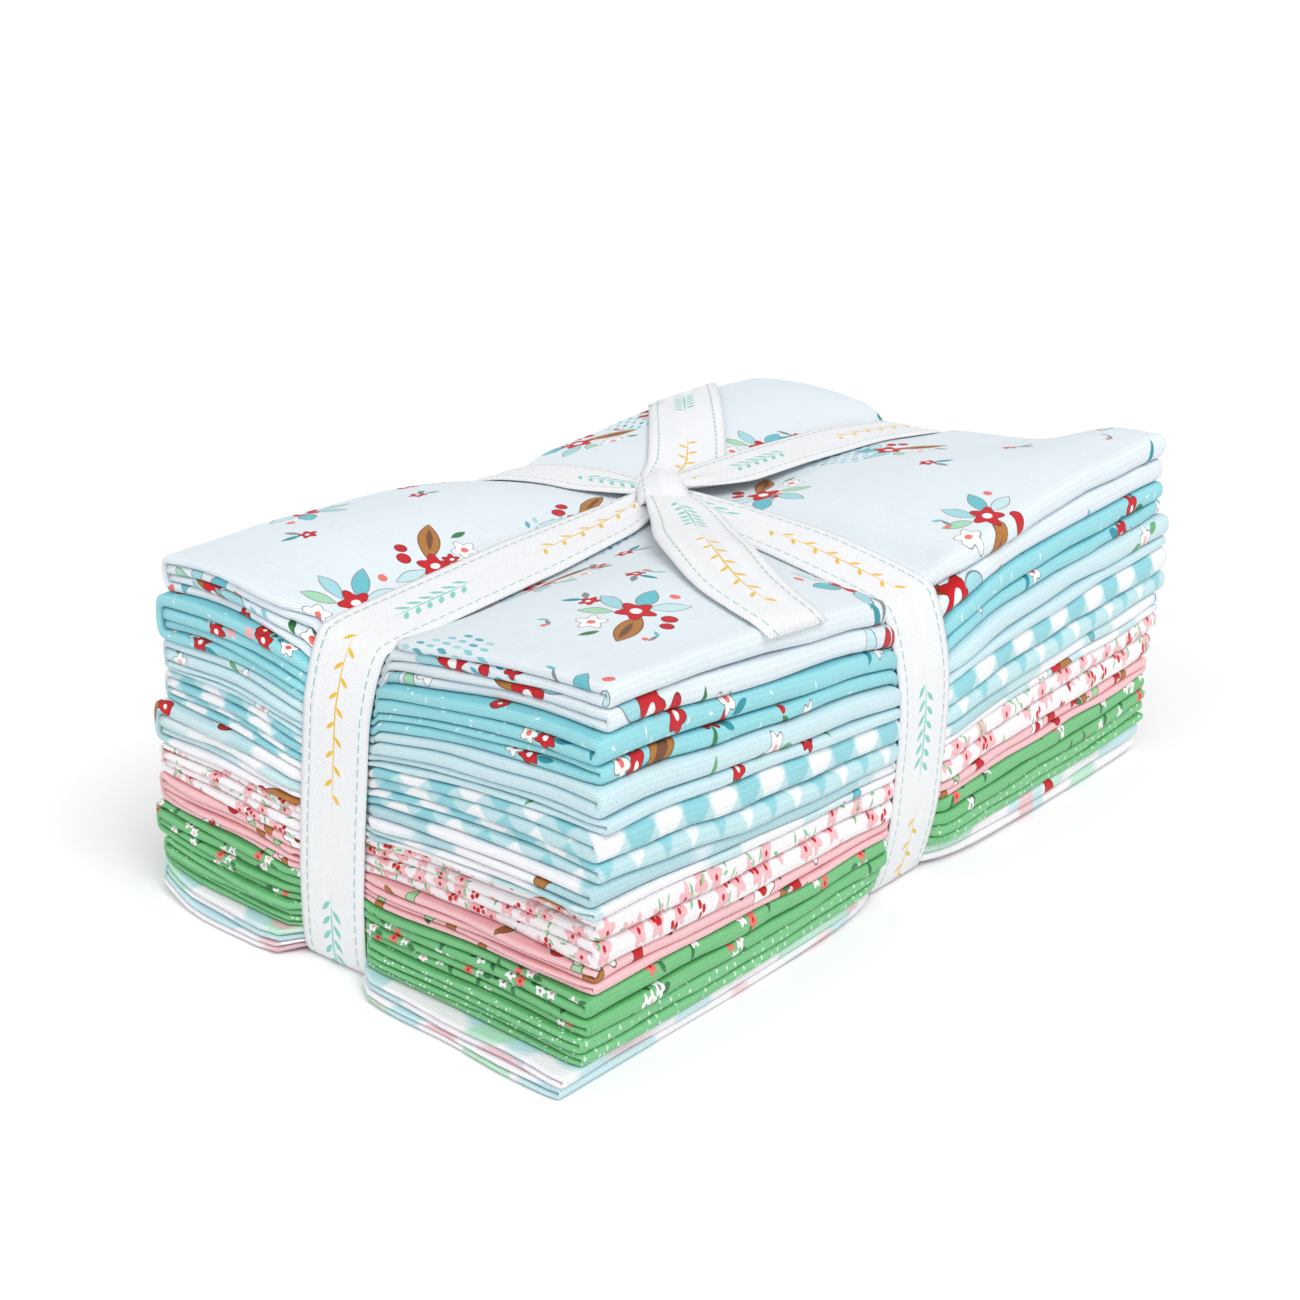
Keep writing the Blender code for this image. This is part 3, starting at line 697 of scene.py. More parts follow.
# The outermost places have this share of its thickness
SELVEDGE_FROM, SELVEDGE_THICK = 0.95, 0.45


def ribbon_strip(name, centres, sides, ups, halves, bends, material, start_u):
    """A woven ribbon along its centres. sides point across it and ups out of it, all per row.

    halves is half its width and bends how far each place across stands up, per row. start_u is
    where on the printed ribbon it starts, in mm. Gives the piece and its length.
    """
    thick = bpy.context.scene.bundle_sizes.ribbon_thick / MM / 2
    across = np.array(RIBBON_ACROSS)
    over, under = [], []
    for index, share in enumerate(across):
        middle = centres + sides * (halves * share)[:, None] + ups * bends[:, index][:, None]
        slim = thick * (1.0 if abs(share) < SELVEDGE_FROM else SELVEDGE_THICK)
        over.append(middle + ups * slim)
        under.append(middle - ups * slim)
    points = np.stack(over + under[::-1], axis=1)
    run = path_marks(centres) + start_u
    v = np.concatenate((across, across[::-1], across[:1])) * ribbon_half()
    u = np.repeat(run[:, None], len(v), axis=1)
    v = np.repeat(v[None, :], len(run), axis=0)
    piece = new_piece(name, *skin(points, u, v), material)
    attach(piece, "root")
    return piece, float(run[-1] - start_u)


def declare_ribbon(node, width=None):
    """Hides the imported part that a length of ribbon stands for."""
    width = width or bpy.context.scene.bundle_sizes.ribbon_width
    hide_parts(node)


# Over which length the ribbon gathers on its way into the knot, the share of its width that goes,
# and how late the width goes and the pleats rise
GATHER_LENGTH, GATHERED_AWAY, GATHER_POWER, RISE_POWER = 22.0, 0.58, 1.4, 1.5
# The pleats across it: their height, their number, where they start, and how far its middle and all
# of it rise
PLEAT_HEIGHT, PLEATS, PLEAT_PHASE, PLEAT_CROWN, PLEAT_LIFT = 0.75, 2.2, 0.6, 0.5, 0.9


def make_turn(node, axis, extra, material, start_u):
    """One turn of ribbon round the stack, gathered where it runs into the knot.

    extra holds further places that carry it, as (along, height).
    """
    sizes = bpy.context.scene.bundle_sizes
    thick = sizes.ribbon_thick / MM
    centre, across = (KNOT_AT[0], LENGTH_Y) if axis == 0 else (KNOT_AT[1], CROSS_X)
    points = np.concatenate((zone_points(axis, across), np.array(extra).reshape(-1, 2)))
    places, normals = taut_route(points, centre, axis, sizes.ribbon_gap / MM + thick / 2)
    rows = len(places)
    centres, ups, sides = np.zeros((rows, 3)), np.zeros((rows, 3)), np.zeros((rows, 3))
    centres[:, axis], centres[:, 1 - axis], centres[:, 2] = places[:, 0], across, places[:, 1]
    ups[:, axis], ups[:, 2] = normals[:, 0], normals[:, 1]
    sides[:, 1 - axis] = -1.0 if axis == 0 else 1.0
    on_top = normals[:, 1] > 0.5
    from_knot = np.abs(places[:, 0] - centre) - KNOT_REACH
    gathered = np.where(on_top, np.clip(1 - from_knot / GATHER_LENGTH, 0.0, 1.0), 0.0)
    halves = ribbon_half() * (1 - GATHERED_AWAY * gathered**GATHER_POWER)
    shares = np.array(RIBBON_ACROSS)
    pleats = PLEAT_HEIGHT * np.sin(shares * math.pi * PLEATS + PLEAT_PHASE) + PLEAT_CROWN * (1 - shares**2)
    bends = gathered[:, None] ** RISE_POWER * (pleats[None, :] + PLEAT_LIFT)
    leaning = tilt(axis, places[:, 0]) * np.clip(normals[:, 1], 0.0, 1.0) * (1 - gathered)
    bends = bends + (leaning * halves * sides[:, 1 - axis])[:, None] * shares[None, :]
    drift = (KNOT_AT[1 - axis] - across) * gathered**2
    centres[:, 1 - axis] += drift
    piece, length = ribbon_strip(node + "_twill", centres, sides, ups, halves, bends, material, start_u)
    declare_ribbon(node)


# One row for each place along a tail, from the knot: its left and right edges, and how high their
# undersides lie over the stack's top. Past the outer fold a tail hangs down.
TailRow = namedtuple("TailRow", "left_x left_y left_lift right_x right_y right_lift")
FRONT_TAIL = (
    TailRow(-4.0, 8.5, 3.9, 4.5, 2.0, 3.9),
    TailRow(-10.0, 2.5, 4.5, 1.0, -7.0, 4.3),
    TailRow(-18.0, -5.5, 4.0, -3.0, -16.5, 3.7),
    TailRow(-34.0, -20.5, 3.0, -13.5, -30.0, 2.8),
    TailRow(-48.5, -38.5, 1.5, -24.0, -43.5, 1.7),
    TailRow(-54.5, -50.0, 0.9, -31.0, -54.0, 1.0),
    TailRow(-57.5, -62.0, 0.7, -35.5, -63.5, 0.8),
    TailRow(-58.0, -67.5, 0.5, -36.5, -68.0, 0.6),
    TailRow(-57.8, -71.4, -1.0, -36.8, -71.0, -0.5),
)
BACK_TAIL = (
    TailRow(7.5, 17.0, 0.5, 12.5, 11.0, 0.5),
    TailRow(15.0, 25.5, 0.6, 26.0, 12.5, 0.5),
    TailRow(25.5, 32.0, 0.7, 38.5, 16.2, 0.5),
    TailRow(61.0, 61.5, 0.8, 75.0, 46.5, 0.8),
    TailRow(66.0, 65.5, 0.8, 97.0, 65.5, 0.8),
    TailRow(78.0, 75.0, 1.0, 109.0, 75.0, 1.0),
)
# The radius of the bend over the outer fold, and the length of a step along a tail
HANG_ROUND, TAIL_STEP = 4.2, 2.2


def over_edge(x, y, lift):
    """A place on the top cotton, or past it where the cloth turns down over its outer fold."""
    start = COTTONS[0].nose_y - HANG_ROUND
    past = (y - start) / HANG_ROUND
    height = top_surface(x, np.minimum(y, start)) + lift
    angle = np.clip(past, 0.0, math.pi / 2)
    straight = np.maximum(past - math.pi / 2, 0.0)
    out = np.where(past > 0, start + (HANG_ROUND + lift) * np.sin(angle), y)
    down = height - (HANG_ROUND + lift) * (1 - np.cos(angle)) - straight * HANG_ROUND
    return np.stack((x, out, down), axis=-1)


def make_tail(node, rows, material, start_u):
    """A free end of the ribbon, lying down from the knot onto the top cotton."""
    table = np.array(rows)
    marks = path_marks((table[:, :2] + table[:, 3:5]) / 2)
    places = np.linspace(0.0, marks[-1], int(marks[-1] / TAIL_STEP) + 1)
    dense = smooth_weights(marks, places) @ table
    left = over_edge(dense[:, 0], dense[:, 1], dense[:, 2])
    right = over_edge(dense[:, 3], dense[:, 4], dense[:, 5])
    shares = (np.array(RIBBON_ACROSS) + 1) / 2
    thick = bpy.context.scene.bundle_sizes.ribbon_thick / MM / 2
    middle, sides = (left + right) / 2, (right - left)
    halves = np.linalg.norm(sides, axis=1) / 2
    sides = sides / (2 * halves)[:, None]
    ups = np.cross(sides, unit(np.gradient(middle, axis=0)))
    ups = unit(ups * np.sign(np.sum(ups, axis=1))[:, None])
    bends = np.zeros((len(dense), len(shares)))
    for index, share in enumerate(shares):
        flat = mix(dense[:, :3], dense[:, 3:], share)
        place = over_edge(flat[:, 0], flat[:, 1], flat[:, 2])
        line = middle + sides * (halves * (2 * share - 1))[:, None]
        bends[:, index] = np.sum((place - line) * ups, axis=1) + thick
    piece, length = ribbon_strip(node + "_twill", middle, sides, ups, halves, bends, material, start_u)
    declare_ribbon(node)


# The knot's wrap, from under the back arm over the top to the front tail: its place, its
# half width and how much its edges curl down
WrapRow = namedtuple("WrapRow", "x y z half curl")
WRAP = (
    WrapRow(11.6, 17.0, 83.2, 4.6, 2.6),
    WrapRow(10.6, 15.6, 86.6, 5.6, 3.8),
    WrapRow(7.6, 12.4, 89.8, 6.3, 4.6),
    WrapRow(3.6, 8.6, 90.8, 6.6, 4.6),
    WrapRow(-0.4, 4.6, 89.7, 6.7, 4.0),
    WrapRow(-3.4, 1.0, 87.2, 7.0, 2.6),
)
# The wrap: its rows, where it starts on the printed ribbon, its gathered width, how sharply it curls
# towards its edges, and its creases
WRAP_ROWS, WRAP_START, WRAP_WIDTH, CURL_POWER = 28, 80.0, 14.0, 2.4
WRAP_CREASE, WRAP_CREASES, WRAP_PHASE = 0.45, 8.5, 0.7


def make_knot(node, material):
    """The knot: the last wrap of ribbon, puffed over the gathered arms below it."""
    table = np.array(WRAP)
    marks = path_marks(table[:, :3])
    places = np.linspace(0.0, marks[-1], WRAP_ROWS)
    dense = smooth_weights(marks, places) @ table
    centres = dense[:, :3]
    forward = unit(np.gradient(centres, axis=0))
    sides = unit(np.cross(forward, np.array((0.0, 0.0, 1.0))))
    ups = np.cross(sides, forward)
    shares = np.array(RIBBON_ACROSS)
    curl = -(np.abs(shares) ** CURL_POWER)
    creases = WRAP_CREASE * np.sin(shares * WRAP_CREASES + WRAP_PHASE)
    bends = dense[:, 4][:, None] * curl[None, :] + creases[None, :]
    name = node + "_twill"
    piece, _length = ribbon_strip(name, centres, sides, ups, dense[:, 3], bends, material, WRAP_START)
    declare_ribbon(node, WRAP_WIDTH * MM)


def add(tree, kind, inputs=(), output=0, **settings):
    """Adds a node with its settings, links or sets its inputs, and returns one of its outputs.

    kind is a node's type, or in capitals the operation of a math node.
    """
    if kind.isupper():
        kind, settings = "ShaderNodeMath", {"operation": kind, **settings}
    made = tree.nodes.new(kind)
    for name, value in settings.items():
        setattr(made, name, value)
    for key, value in inputs.items() if isinstance(inputs, dict) else enumerate(inputs):
        if isinstance(value, bpy.types.NodeSocket):
            tree.links.new(value, made.inputs[key])
        elif value is not None:
            made.inputs[key].default_value = value
    return made.outputs[output]


VECTOR, MIX = "ShaderNodeVectorMath", "ShaderNodeMix"
ROTATE, SPLIT, JOIN = "ShaderNodeVectorRotate", "ShaderNodeSeparateXYZ", "ShaderNodeCombineXYZ"
NOISE = "ShaderNodeTexNoise"

# A printed mark. form: disc, petals or leaf. x, y: its middle, in mm from the middle of its group.
# turn: degrees. length, width: half sizes in mm. colour: its fill. line: its outline, or None.
Mark = namedtuple("Mark", "form x y turn length width colour line")
# A layer of printed groups: their spacing in mm, how far they stray, the seed's offset, and the
# share of places that hold one.
Layer = namedtuple("Layer", "spacing stray seed share marks")

RED, WINE, CORAL, PINK, CARAMEL, BROWN = "CC1A26", "8E1420", "EE7B72", "F4B9BE", "B5793A", "7A4E33"
LEAF, DARK_LEAF, PALE_LEAF, MINT = "6FB07A", "3F7F4E", "A8D6A6", "A9DDBB"
AQUA, TEAL, TEAL_PRINT = "6CC3D0", "2F98A6", "86D2C8"
WHITE, GREY, YELLOW = "FBFBFB", "8A8F92", "F0C02E"
# A printed mark's outline in mm, and how sharp its edge is: how fast the ink sets in, per mm
OUTLINE, CRISP = 0.28, 7.0
# How deep the five petals of a flower are cut, as a share of its size
PETALS, PETAL_CUT = 5.0, 0.2
# Farther away than any printed group reaches, in mm
NOWHERE = 1000.0


def mark_depth(tree, form, spot, length, width):
    """How deep inside a mark a place lies, in mm: above zero inside it."""
    if form == "leaf":
        sides = add(tree, SPLIT, (spot,)).node.outputs
        part = add(tree, "DIVIDE", (sides[0], length))
        part = add(tree, "MULTIPLY", (part, part))
        edge = add(tree, "MULTIPLY_ADD", (part, -width, width))
        aside = add(tree, "ABSOLUTE", (sides[1],))
        return add(tree, "SUBTRACT", (edge, aside))
    reach = add(tree, VECTOR, (spot,), output=1, operation="LENGTH")
    if form == "disc":
        return add(tree, "SUBTRACT", (length, reach))
    sides = add(tree, SPLIT, (spot,)).node.outputs
    angle = add(tree, "ARCTAN2", (sides[1], sides[0]))
    angle = add(tree, "MULTIPLY", (angle, PETALS))
    wave = add(tree, "COSINE", (angle,))
    cut = PETAL_CUT * length
    edge = add(tree, "MULTIPLY_ADD", (wave, cut, length - cut))
    return add(tree, "SUBTRACT", (edge, reach))


def paint(tree, under, colour, amount):
    """Lays a colour over another one by the amount."""
    over = to_linear(colour) if isinstance(colour, str) else colour
    return add(tree, MIX, {0: amount, 6: under, 7: over}, output=2, data_type="RGBA")


def paint_marks(tree, under, spot, marks, crisp=CRISP):
    """Prints a group's marks one over another, each with its outline first."""
    for mark in marks:
        here = add(tree, VECTOR, (spot, (mark.x, mark.y, 0.0)), operation="SUBTRACT")
        if mark.turn:
            angle = math.radians(-mark.turn)
            here = add(tree, ROTATE, {"Vector": here, "Angle": angle}, rotation_type="Z_AXIS")
        depth = mark_depth(tree, mark.form, here, mark.length, mark.width)
        if mark.line:
            edge = (depth, crisp, OUTLINE * crisp + 0.5)
            edge = add(tree, "MULTIPLY_ADD", edge, use_clamp=True)
            under = paint(tree, under, mark.line, edge)
        fill = add(tree, "MULTIPLY_ADD", (depth, crisp, 0.5), use_clamp=True)
        under = paint(tree, under, mark.colour, fill)
    return under


def scattered(tree, uv, layer):
    """The place within the nearest printed group, in mm, each group turned its own way."""
    per_metre = 1.0 / (layer.spacing * MM)
    offset = (layer.seed, layer.seed * 1.7, 0.0)
    moved = add(tree, VECTOR, (uv, (per_metre,) * 3, offset), operation="MULTIPLY_ADD")
    cells = {"Vector": moved, "Scale": 1.0, "Randomness": layer.stray}
    cells = add(tree, "ShaderNodeTexVoronoi", cells, voronoi_dimensions="2D")
    outputs = cells.node.outputs
    spot = add(tree, VECTOR, (moved, outputs["Position"]), operation="SUBTRACT")
    spot = add(tree, VECTOR, (spot, (layer.spacing,) * 3), operation="MULTIPLY")
    chance = add(tree, "ShaderNodeSeparateColor", (outputs["Color"],)).node.outputs
    turn = add(tree, "MULTIPLY", (chance[0], 2 * math.pi))
    spot = add(tree, ROTATE, {"Vector": spot, "Angle": turn}, rotation_type="Z_AXIS")
    missing = add(tree, "GREATER_THAN", (chance[1], layer.share))
    away = add(tree, "MULTIPLY", (missing, NOWHERE))
    return add(tree, VECTOR, (spot, add(tree, JOIN, (away, 0.0, 0.0))), operation="ADD")


def print_layers(tree, uv, ground, layers):
    """A print of scattered groups on its ground colour."""
    for layer in layers:
        ground = paint_marks(tree, ground, scattered(tree, uv, layer), layer.marks)
    return ground


# The check: how wide a stripe is in mm, and how sharp its edge
CHECK_WIDTH, CHECK_CRISP = 6.2, 2.6


def print_check(tree, uv, ground, pale, full):
    """A bias gingham: two ways of stripes at 45 degrees, so white, pale and full colour meet."""
    turned = add(tree, ROTATE, {"Vector": uv, "Angle": math.radians(45)}, rotation_type="Z_AXIS")
    scaled = add(tree, VECTOR, (turned, (1 / (CHECK_WIDTH * MM),) * 3), operation="MULTIPLY")
    parts = add(tree, SPLIT, (scaled,)).node.outputs
    stripes = []
    for part in parts[:2]:
        wave = add(tree, "MULTIPLY", (part, math.pi))
        wave = add(tree, "SINE", (wave,))
        wave = add(tree, "MULTIPLY_ADD", (wave, CHECK_CRISP, 0.5), use_clamp=True)
        stripes.append(wave)
    either = add(tree, "MAXIMUM", stripes)
    both = add(tree, "MULTIPLY", stripes)
    return paint(tree, paint(tree, ground, pale, either), full, both)


# How steeply a patch sets in
PATCH_EDGE = 22.0


def print_patches(tree, uv, ground, patches):
    """Soft-edged fields of other colours: each row gives a colour, a size in mm, a seed and a cut."""
    for colour, size, seed, cut in patches:
        per_metre = 1 / (size * MM)
        offset = (seed, seed * 0.6, 0.0)
        moved = add(tree, VECTOR, (uv, (per_metre,) * 3, offset), operation="MULTIPLY_ADD")
        cloud = {"Vector": moved, "Scale": 1.0, "Detail": 1.0, "Roughness": 0.4}
        cloud = add(tree, NOISE, cloud, noise_dimensions="2D")
        mask = (cloud, PATCH_EDGE, 0.5 - PATCH_EDGE * cut)
        mask = add(tree, "MULTIPLY_ADD", mask, use_clamp=True)
        ground = paint(tree, ground, colour, mask)
    return ground


# The patches of foliage and their radius, the grid of their leaves, a leaf's half sizes in mm, and
# its three colours with the share from which each is taken
FOLIAGE = Layer(84.0, 0.8, 4.6, 0.8, ())
FOLIAGE_RADIUS, FOLIAGE_GRID, FOLIAGE_LEAF = 14.5, (4.6, 2.4, 1.0), (1.7, 0.62)
FOLIAGE_COLOURS = ((0.0, "8FD0DC"), (0.4, "A9DCE4"), (0.7, "5DAFC2"))


def print_foliage(tree, uv, ground):
    """Round patches of foliage: pointed leaves in staggered rows, each in one of three colours."""
    spot = scattered(tree, uv, FOLIAGE)
    parts = add(tree, VECTOR, (spot, FOLIAGE_GRID), operation="DIVIDE")
    parts = add(tree, SPLIT, (parts,)).node.outputs
    row = add(tree, "FLOOR", (parts[1],))
    column = add(tree, "MULTIPLY_ADD", (row, 0.5, parts[0]))
    column = add(tree, "FLOOR", (column,))
    slid = add(tree, "MULTIPLY_ADD", (row, -0.5, column))
    cell = add(tree, JOIN, (slid, row, 0.0))
    middle = add(tree, VECTOR, (cell, (0.5, 0.5, 0.0)), operation="ADD")
    middle = add(tree, VECTOR, (middle, FOLIAGE_GRID), operation="MULTIPLY")
    here = add(tree, VECTOR, (spot, middle), operation="SUBTRACT")
    reach = add(tree, VECTOR, (middle,), output=1, operation="LENGTH")
    inside = add(tree, "LESS_THAN", (reach, FOLIAGE_RADIUS))
    leafy = mark_depth(tree, "leaf", here, *FOLIAGE_LEAF)
    leafy = add(tree, "MULTIPLY_ADD", (leafy, CRISP, 0.5), use_clamp=True)
    leafy = add(tree, "MULTIPLY", (leafy, inside))
    chance = add(tree, "ShaderNodeTexWhiteNoise", {"Vector": cell}, noise_dimensions="2D")
    colour = to_linear(FOLIAGE_COLOURS[0][1])
    for share, other in FOLIAGE_COLOURS[1:]:
        chosen = add(tree, "GREATER_THAN", (chance, share))
        colour = paint(tree, colour, other, chosen)
    return paint(tree, ground, colour, leafy)


# The dotted loops: where they lie, their radius in mm, the angle at which they open, how many dots
# they have, how large a dot is and how sharp its edge
LOOPS = Layer(6.4, 0.15, 3.3, 1.0, ())
LOOP_RADIUS, LOOP_OPENING, LOOP_DOTS, LOOP_DOT_SIZE, LOOP_CRISP = 1.75, 0.75, 9.0, 0.3, (6.0, 0.7)


def print_loops(tree, uv, ground, colour):
    """Open loops of small dots in rows, like a running stitch."""
    spot = scattered(tree, uv, LOOPS)
    parts = add(tree, SPLIT, (spot,)).node.outputs
    reach = add(tree, VECTOR, (spot,), output=1, operation="LENGTH")
    off = add(tree, "SUBTRACT", (reach, LOOP_RADIUS))
    angle = add(tree, "ARCTAN2", (parts[1], parts[0]))
    beads = add(tree, "MULTIPLY", (angle, LOOP_DOTS))
    beads = add(tree, "COSINE", (beads,))
    beads = add(tree, "MULTIPLY", (beads, LOOP_DOT_SIZE))
    off = add(tree, "ABSOLUTE", (off,))
    depth = add(tree, "SUBTRACT", (beads, off))
    dots = add(tree, "MULTIPLY_ADD", (depth, *LOOP_CRISP), use_clamp=True)
    opening = add(tree, "ABSOLUTE", (angle,))
    opening = add(tree, "GREATER_THAN", (opening, LOOP_OPENING))
    return paint(tree, ground, colour, add(tree, "MULTIPLY", (dots, opening)))


# The cottons' weave in mm, drawn coarser than the real 0.4 mm so that it can be seen, and the size of
# a fleck of uneven yarn
WEAVE, FLECK = 0.7, 0.9
# How dark the weave and the yarn shade, how deep the weave and the puckers are in mm, the puckers' two
# sizes in mm, and how much painted shade deepens the colour in a crease
WEAVE_SHADE, YARN_SHADE, WEAVE_BUMP, PUCKER_BUMP = (0.045, 0.975), 0.06, 0.05, 0.5
PUCKERS, CREASE_PAINTED_SHADE = (13, 9), 0.45
COTTON_SURFACE = {"Roughness": 0.85, "Specular IOR Level": 0.25, "Sheen Weight": 0.12, "Sheen Roughness": 0.5}


def woven(tree, uv):
    """A weave's height: slanting ribs, and weft threads across them."""
    scaled = add(tree, VECTOR, (uv, (2 * math.pi / (WEAVE * MM),) * 3), operation="MULTIPLY")
    parts = add(tree, SPLIT, (scaled,)).node.outputs
    slant = add(tree, "ADD", (parts[0], parts[1]))
    height = add(tree, "SINE", (slant,))
    weft = add(tree, "SINE", (parts[0],))
    return add(tree, "MULTIPLY_ADD", (weft, 0.5, height))


def set_surface(shader, surface):
    """Sets the uniform values of a shader's sockets."""
    for name, value in surface.items():
        shader.inputs[name].default_value = value


def shade_colour(tree, colour, shade):
    """A colour times a shade."""
    return add(tree, VECTOR, (colour, add(tree, JOIN, (shade, shade, shade))), operation="MULTIPLY")


def raise_surface(tree, shader, height):
    """Gives a shader a height in mm as bump."""
    bump = add(tree, "ShaderNodeBump", {"Strength": 1.0, "Distance": MM, "Height": height})
    tree.links.new(bump, shader.inputs["Normal"])


def finish_cloth(material, colour, uv):
    """Shades a printed cloth: matt yarn, a soft sheen, the weave and soft puckers as bump.

    Painted shade darkens and deepens the colour in the creases, for the light thrown from fold to fold.
    """
    tree = material.node_tree
    # Painted shade: the crease depth darkens and deepens the base colour between the bands
    depth = add(tree, "ShaderNodeAttribute", output=2, attribute_name="crease")
    depth = add(tree, "MULTIPLY_ADD", (depth, CREASE_PAINTED_SHADE, 1.0))
    colour = add(tree, "ShaderNodeGamma", (colour, depth))
    shader = tree.nodes["Principled BSDF"]
    weave = woven(tree, uv)
    fine = add(tree, VECTOR, (uv, (1 / (FLECK * MM), 1 / (FLECK * MM), 1.0)), operation="MULTIPLY")
    yarn = add(tree, NOISE, {"Vector": fine, "Scale": 1.0, "Detail": 2.0}, noise_dimensions="2D")
    yarn = add(tree, "MULTIPLY_ADD", (yarn, YARN_SHADE, -YARN_SHADE / 2))
    shade = add(tree, "MULTIPLY_ADD", (weave, *WEAVE_SHADE))
    shade = add(tree, "ADD", (yarn, shade))
    tree.links.new(shade_colour(tree, colour, shade), shader.inputs["Base Color"])
    set_surface(shader, COTTON_SURFACE)
    wide, long = (1 / (size * MM) for size in PUCKERS)
    broad = add(tree, VECTOR, (uv, (wide, long, 1.0)), operation="MULTIPLY")
    pucker = {"Vector": broad, "Scale": 1.0, "Detail": 3.0, "Roughness": 0.55}
    pucker = add(tree, NOISE, pucker, noise_dimensions="2D")
    height = add(tree, "MULTIPLY", (pucker, PUCKER_BUMP))
    height = add(tree, "MULTIPLY_ADD", (weave, WEAVE_BUMP, height))
    raise_surface(tree, shader, height)


def new_material(name):
    """A material with a Principled shader, and its cloth UVs."""
    material = bpy.data.materials.new(name)
    material.use_nodes = True
    uv = add(material.node_tree, "ShaderNodeUVMap", uv_map="cloth")
    return material, uv


def leaf(x, y, turn, length, width, colour, line=None):
    """A pointed leaf."""
    return Mark("leaf", x, y, turn, length, width, colour, line)


def disc(x, y, size, colour, line=None):
    """A round berry, or a flower's middle."""
    return Mark("disc", x, y, 0, size, 0, colour, line)


def petals(x, y, turn, size, colour, line=None):
    """A flower of five petals."""
    return Mark("petals", x, y, turn, size, 0, colour, line)


RIBBON_MATERIAL = "cotton_twill_tape_herringbone"

